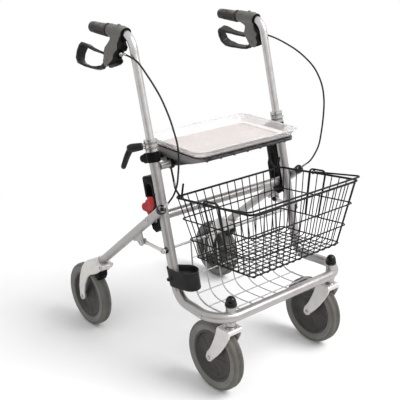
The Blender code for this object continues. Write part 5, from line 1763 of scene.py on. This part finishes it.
def build_rear_frame():
    """The rear legs, the bar that they turn on and the links."""
    both(rear_leg, "back_leg_{}", PAINT, "rear_frame", "rear_leg_{}")
    both(gusset_weld, "gusset_weld_{}", PAINT, "rear_frame")
    both(end_plug, "leg_plug_{}", GLOSS, "rear_frame", "end_plug_{}")
    mount(crossbar(), "cross_bar", PAINT, "carriage", "crossbar")
    both(crossbar_bush, "cross_bar_bush_{}", BLACK, "carriage")
    both(link, "fold_link_{}", FORK_PAINT, "link_{}", "link_{}")
    both(link_bush, "link_bush_{}", BLACK, "link_{}")


def build_handles():
    """The handle tubes with their grips, brakes, levers and cables."""
    both(handle_tube, "handle_bar_{}", SATIN, "handle_{}", "handle_tube_{}")
    both(grip, "hand_grip_{}", RUBBER, "handle_{}", "grip_{}")
    both(grip_groove_shade_and_ring, "grip_rings_{}", DARK_RUBBER_AND_GROOVE_SHADE, "handle_{}")
    both(brake_body, "brake_body_{}", BLACK, "handle_{}", "brake_housing_{}", sharp=40)
    both(brake_strap, "brake_strap_{}", BRAKE_GREY, "handle_{}", sharp=40)
    both(brake_rim, "brake_rim_{}", BLACK, "handle_{}")
    both(brake_pivot, "brake_pivot_{}", BRAKE_GREY, "handle_{}")
    both(cable_adjuster, "cable_adjuster_{}", STEEL, "handle_{}")
    both(brake_lever, "lever_loop_{}", LEVER_BLACK, "lever_{}", "brake_lever_{}")
    both(lever_pad, "lever_ribs_{}", LEVER_BLACK, "lever_{}")
    brake_cables()


def build_seat_and_basket():
    """The seat, the tray and the basket with its bail."""
    mount(seat_board(), "seat_board", SEAT_BLACK, "seat", "seat")
    mount(tray_shell(), "tray_shell", CLEAR, "tray", "tray")
    mount(tray_floor(), "tray_floor", TRAY_GREY, "tray")
    mount(tray_border_highlight(), "tray_border_highlight", TRAY_EDGE_HIGHLIGHT, "tray")
    mount(basket_uprights(), "basket_wires", BASKET_BLACK, "basket", "basket_right", "basket_left",
            "basket_front", "basket_back", "basket_floor")
    mount(basket_hoops(), "basket_hoops", BASKET_BLACK, "basket")
    mount(basket_loops(), "basket_loops", BASKET_BLACK, "basket")
    mount(basket_bail(), "carrying_bail", BASKET_BLACK, "bail", "basket_bail")
    mount(bail_eyes(), "bail_eyes", BASKET_BLACK, "bail")


build_frame()
build_screws()
build_wheels()
build_rear_frame()
build_handles()
build_seat_and_basket()

# Floor, light and camera
WHITE = (1.0, 1.0, 1.0, 1.0)


def seen_ray(tree):
    """Mask of rays that are seen: direct, reflected or through clear plastic."""
    path = put(tree, "ShaderNodeLightPath").outputs
    first = reckon(tree, "MAXIMUM", path["Is Camera Ray"], path["Is Glossy Ray"])
    return reckon(tree, "MAXIMUM", first, path["Is Transmission Ray"])


def floor_finish():
    """Pale floor, faintly mottled, that fades into the white surroundings."""
    look, tree, shader, place = new_look("studio_floor")
    patchy = use(tree, PATCHY, {"Place": place["Object"], "Patch Scale": 2.0, "Grain Scale": 300.0})
    fill(tree, shader, {"Base Color": blended(tree, patchy["Patches"], 0.88, 0.895),
            "Roughness": between(tree, patchy["Grain"], 0.75, 0.85), "Specular IOR Level": 0.1})
    away = put(tree, "ShaderNodeVectorMath", {0: place["Object"]}, operation="LENGTH")
    far = put(tree, "ShaderNodeMapRange", {"Value": away.outputs["Value"], "From Min": 0.85,
            "From Max": 1.5}, interpolation_type="SMOOTHSTEP")
    glow = put(tree, "ShaderNodeEmission", {"Color": WHITE, "Strength": 1.0})
    share = reckon(tree, "MULTIPLY", far.outputs["Result"], seen_ray(tree))
    mix = put(tree, "ShaderNodeMixShader", {0: share, 1: shader.outputs["BSDF"],
            2: glow.outputs["Emission"]})
    fill(tree, tree.nodes["Material Output"], {"Surface": mix.outputs["Shader"]})
    return look


def floor():
    """Wide floor under the wheels."""
    work = bmesh.new()
    bmesh.ops.create_grid(work, x_segments=24, y_segments=24, size=9.0)
    ground = from_bmesh(work)
    ground.location.z = -0.0004
    ground.name = "studio_floor"
    ground.data.materials.append(floor_finish())


def surroundings():
    """White surroundings for what is seen, and a softer level for lighting."""
    world = bpy.data.worlds.new("studio")
    bpy.context.scene.world = world
    world.use_nodes = True
    tree = world.node_tree
    tree.nodes.clear()
    level = between(tree, seen_ray(tree), 0.8, 1.0)
    background = put(tree, "ShaderNodeBackground", {"Color": WHITE, "Strength": level})
    put(tree, "ShaderNodeOutputWorld", {"Surface": background.outputs["Background"]})


def lamp(name, place, aim, size, power):
    """A square soft lamp."""
    light = bpy.data.lights.new(name, "AREA")
    light.shape = "SQUARE"
    light.size = size
    light.energy = power
    holder = bpy.data.objects.new(name, light)
    bpy.context.scene.collection.objects.link(holder)
    holder.location = place
    holder.rotation_euler = (Vector(aim) - Vector(place)).to_track_quat("-Z", "Y").to_euler()
    return holder


def dark_card():
    """Dark card behind the camera, seen only in reflections."""
    work = bmesh.new()
    bmesh.ops.create_grid(work, x_segments=1, y_segments=1, size=0.5)
    card = from_bmesh(work)
    card.name = "dark_card"
    card.location = (-2.59, -1.88, 0.42)
    card.scale = (3.4, 1.3, 1.0)
    card.rotation_euler = Vector((-2.59, -1.88, 0.0)).to_track_quat("Z", "Y").to_euler()
    look, tree, shader, place = new_look("dark_card")
    patchy = use(tree, PATCHY, {"Place": place["Object"], "Patch Scale": 1.0, "Grain Scale": 90.0})
    fill(tree, shader, {"Base Color": blended(tree, patchy["Patches"], 0.02, 0.03)})
    card.data.materials.append(look)
    for kind in ("camera", "diffuse", "transmission", "volume_scatter", "shadow"):
        setattr(card, "visible_" + kind, False)


def camera():
    """Camera in front of the right side, above the handles."""
    data = bpy.data.cameras.new("camera")
    data.lens = 66.41
    data.sensor_width = 36.0
    data.sensor_fit = "HORIZONTAL"
    data.clip_start = 0.05
    data.clip_end = 60.0
    eye = bpy.data.objects.new("camera", data)
    bpy.context.scene.collection.objects.link(eye)
    back = Vector((-0.6004, -0.717, 0.3541)).normalized()
    right = Vector((0.767, -0.642, 0.0)).normalized()
    up = back.cross(right).normalized()
    right = up.cross(back)
    turn = Matrix((right, up, back)).transposed() @ Matrix.Rotation(math.radians(-0.12), 3, "Z")
    eye.matrix_world = Matrix.Translation((-1.3286, -1.5333, 1.1962)) @ turn.to_4x4()
    bpy.context.scene.camera = eye


floor()
surroundings()
dark_card()
lamp("key", (2.5, -4.1, 5.7), (0.0, 0.0, 0.3), 4.0, 430.0)
camera()
bpy.context.scene.view_settings.view_transform = "Standard"
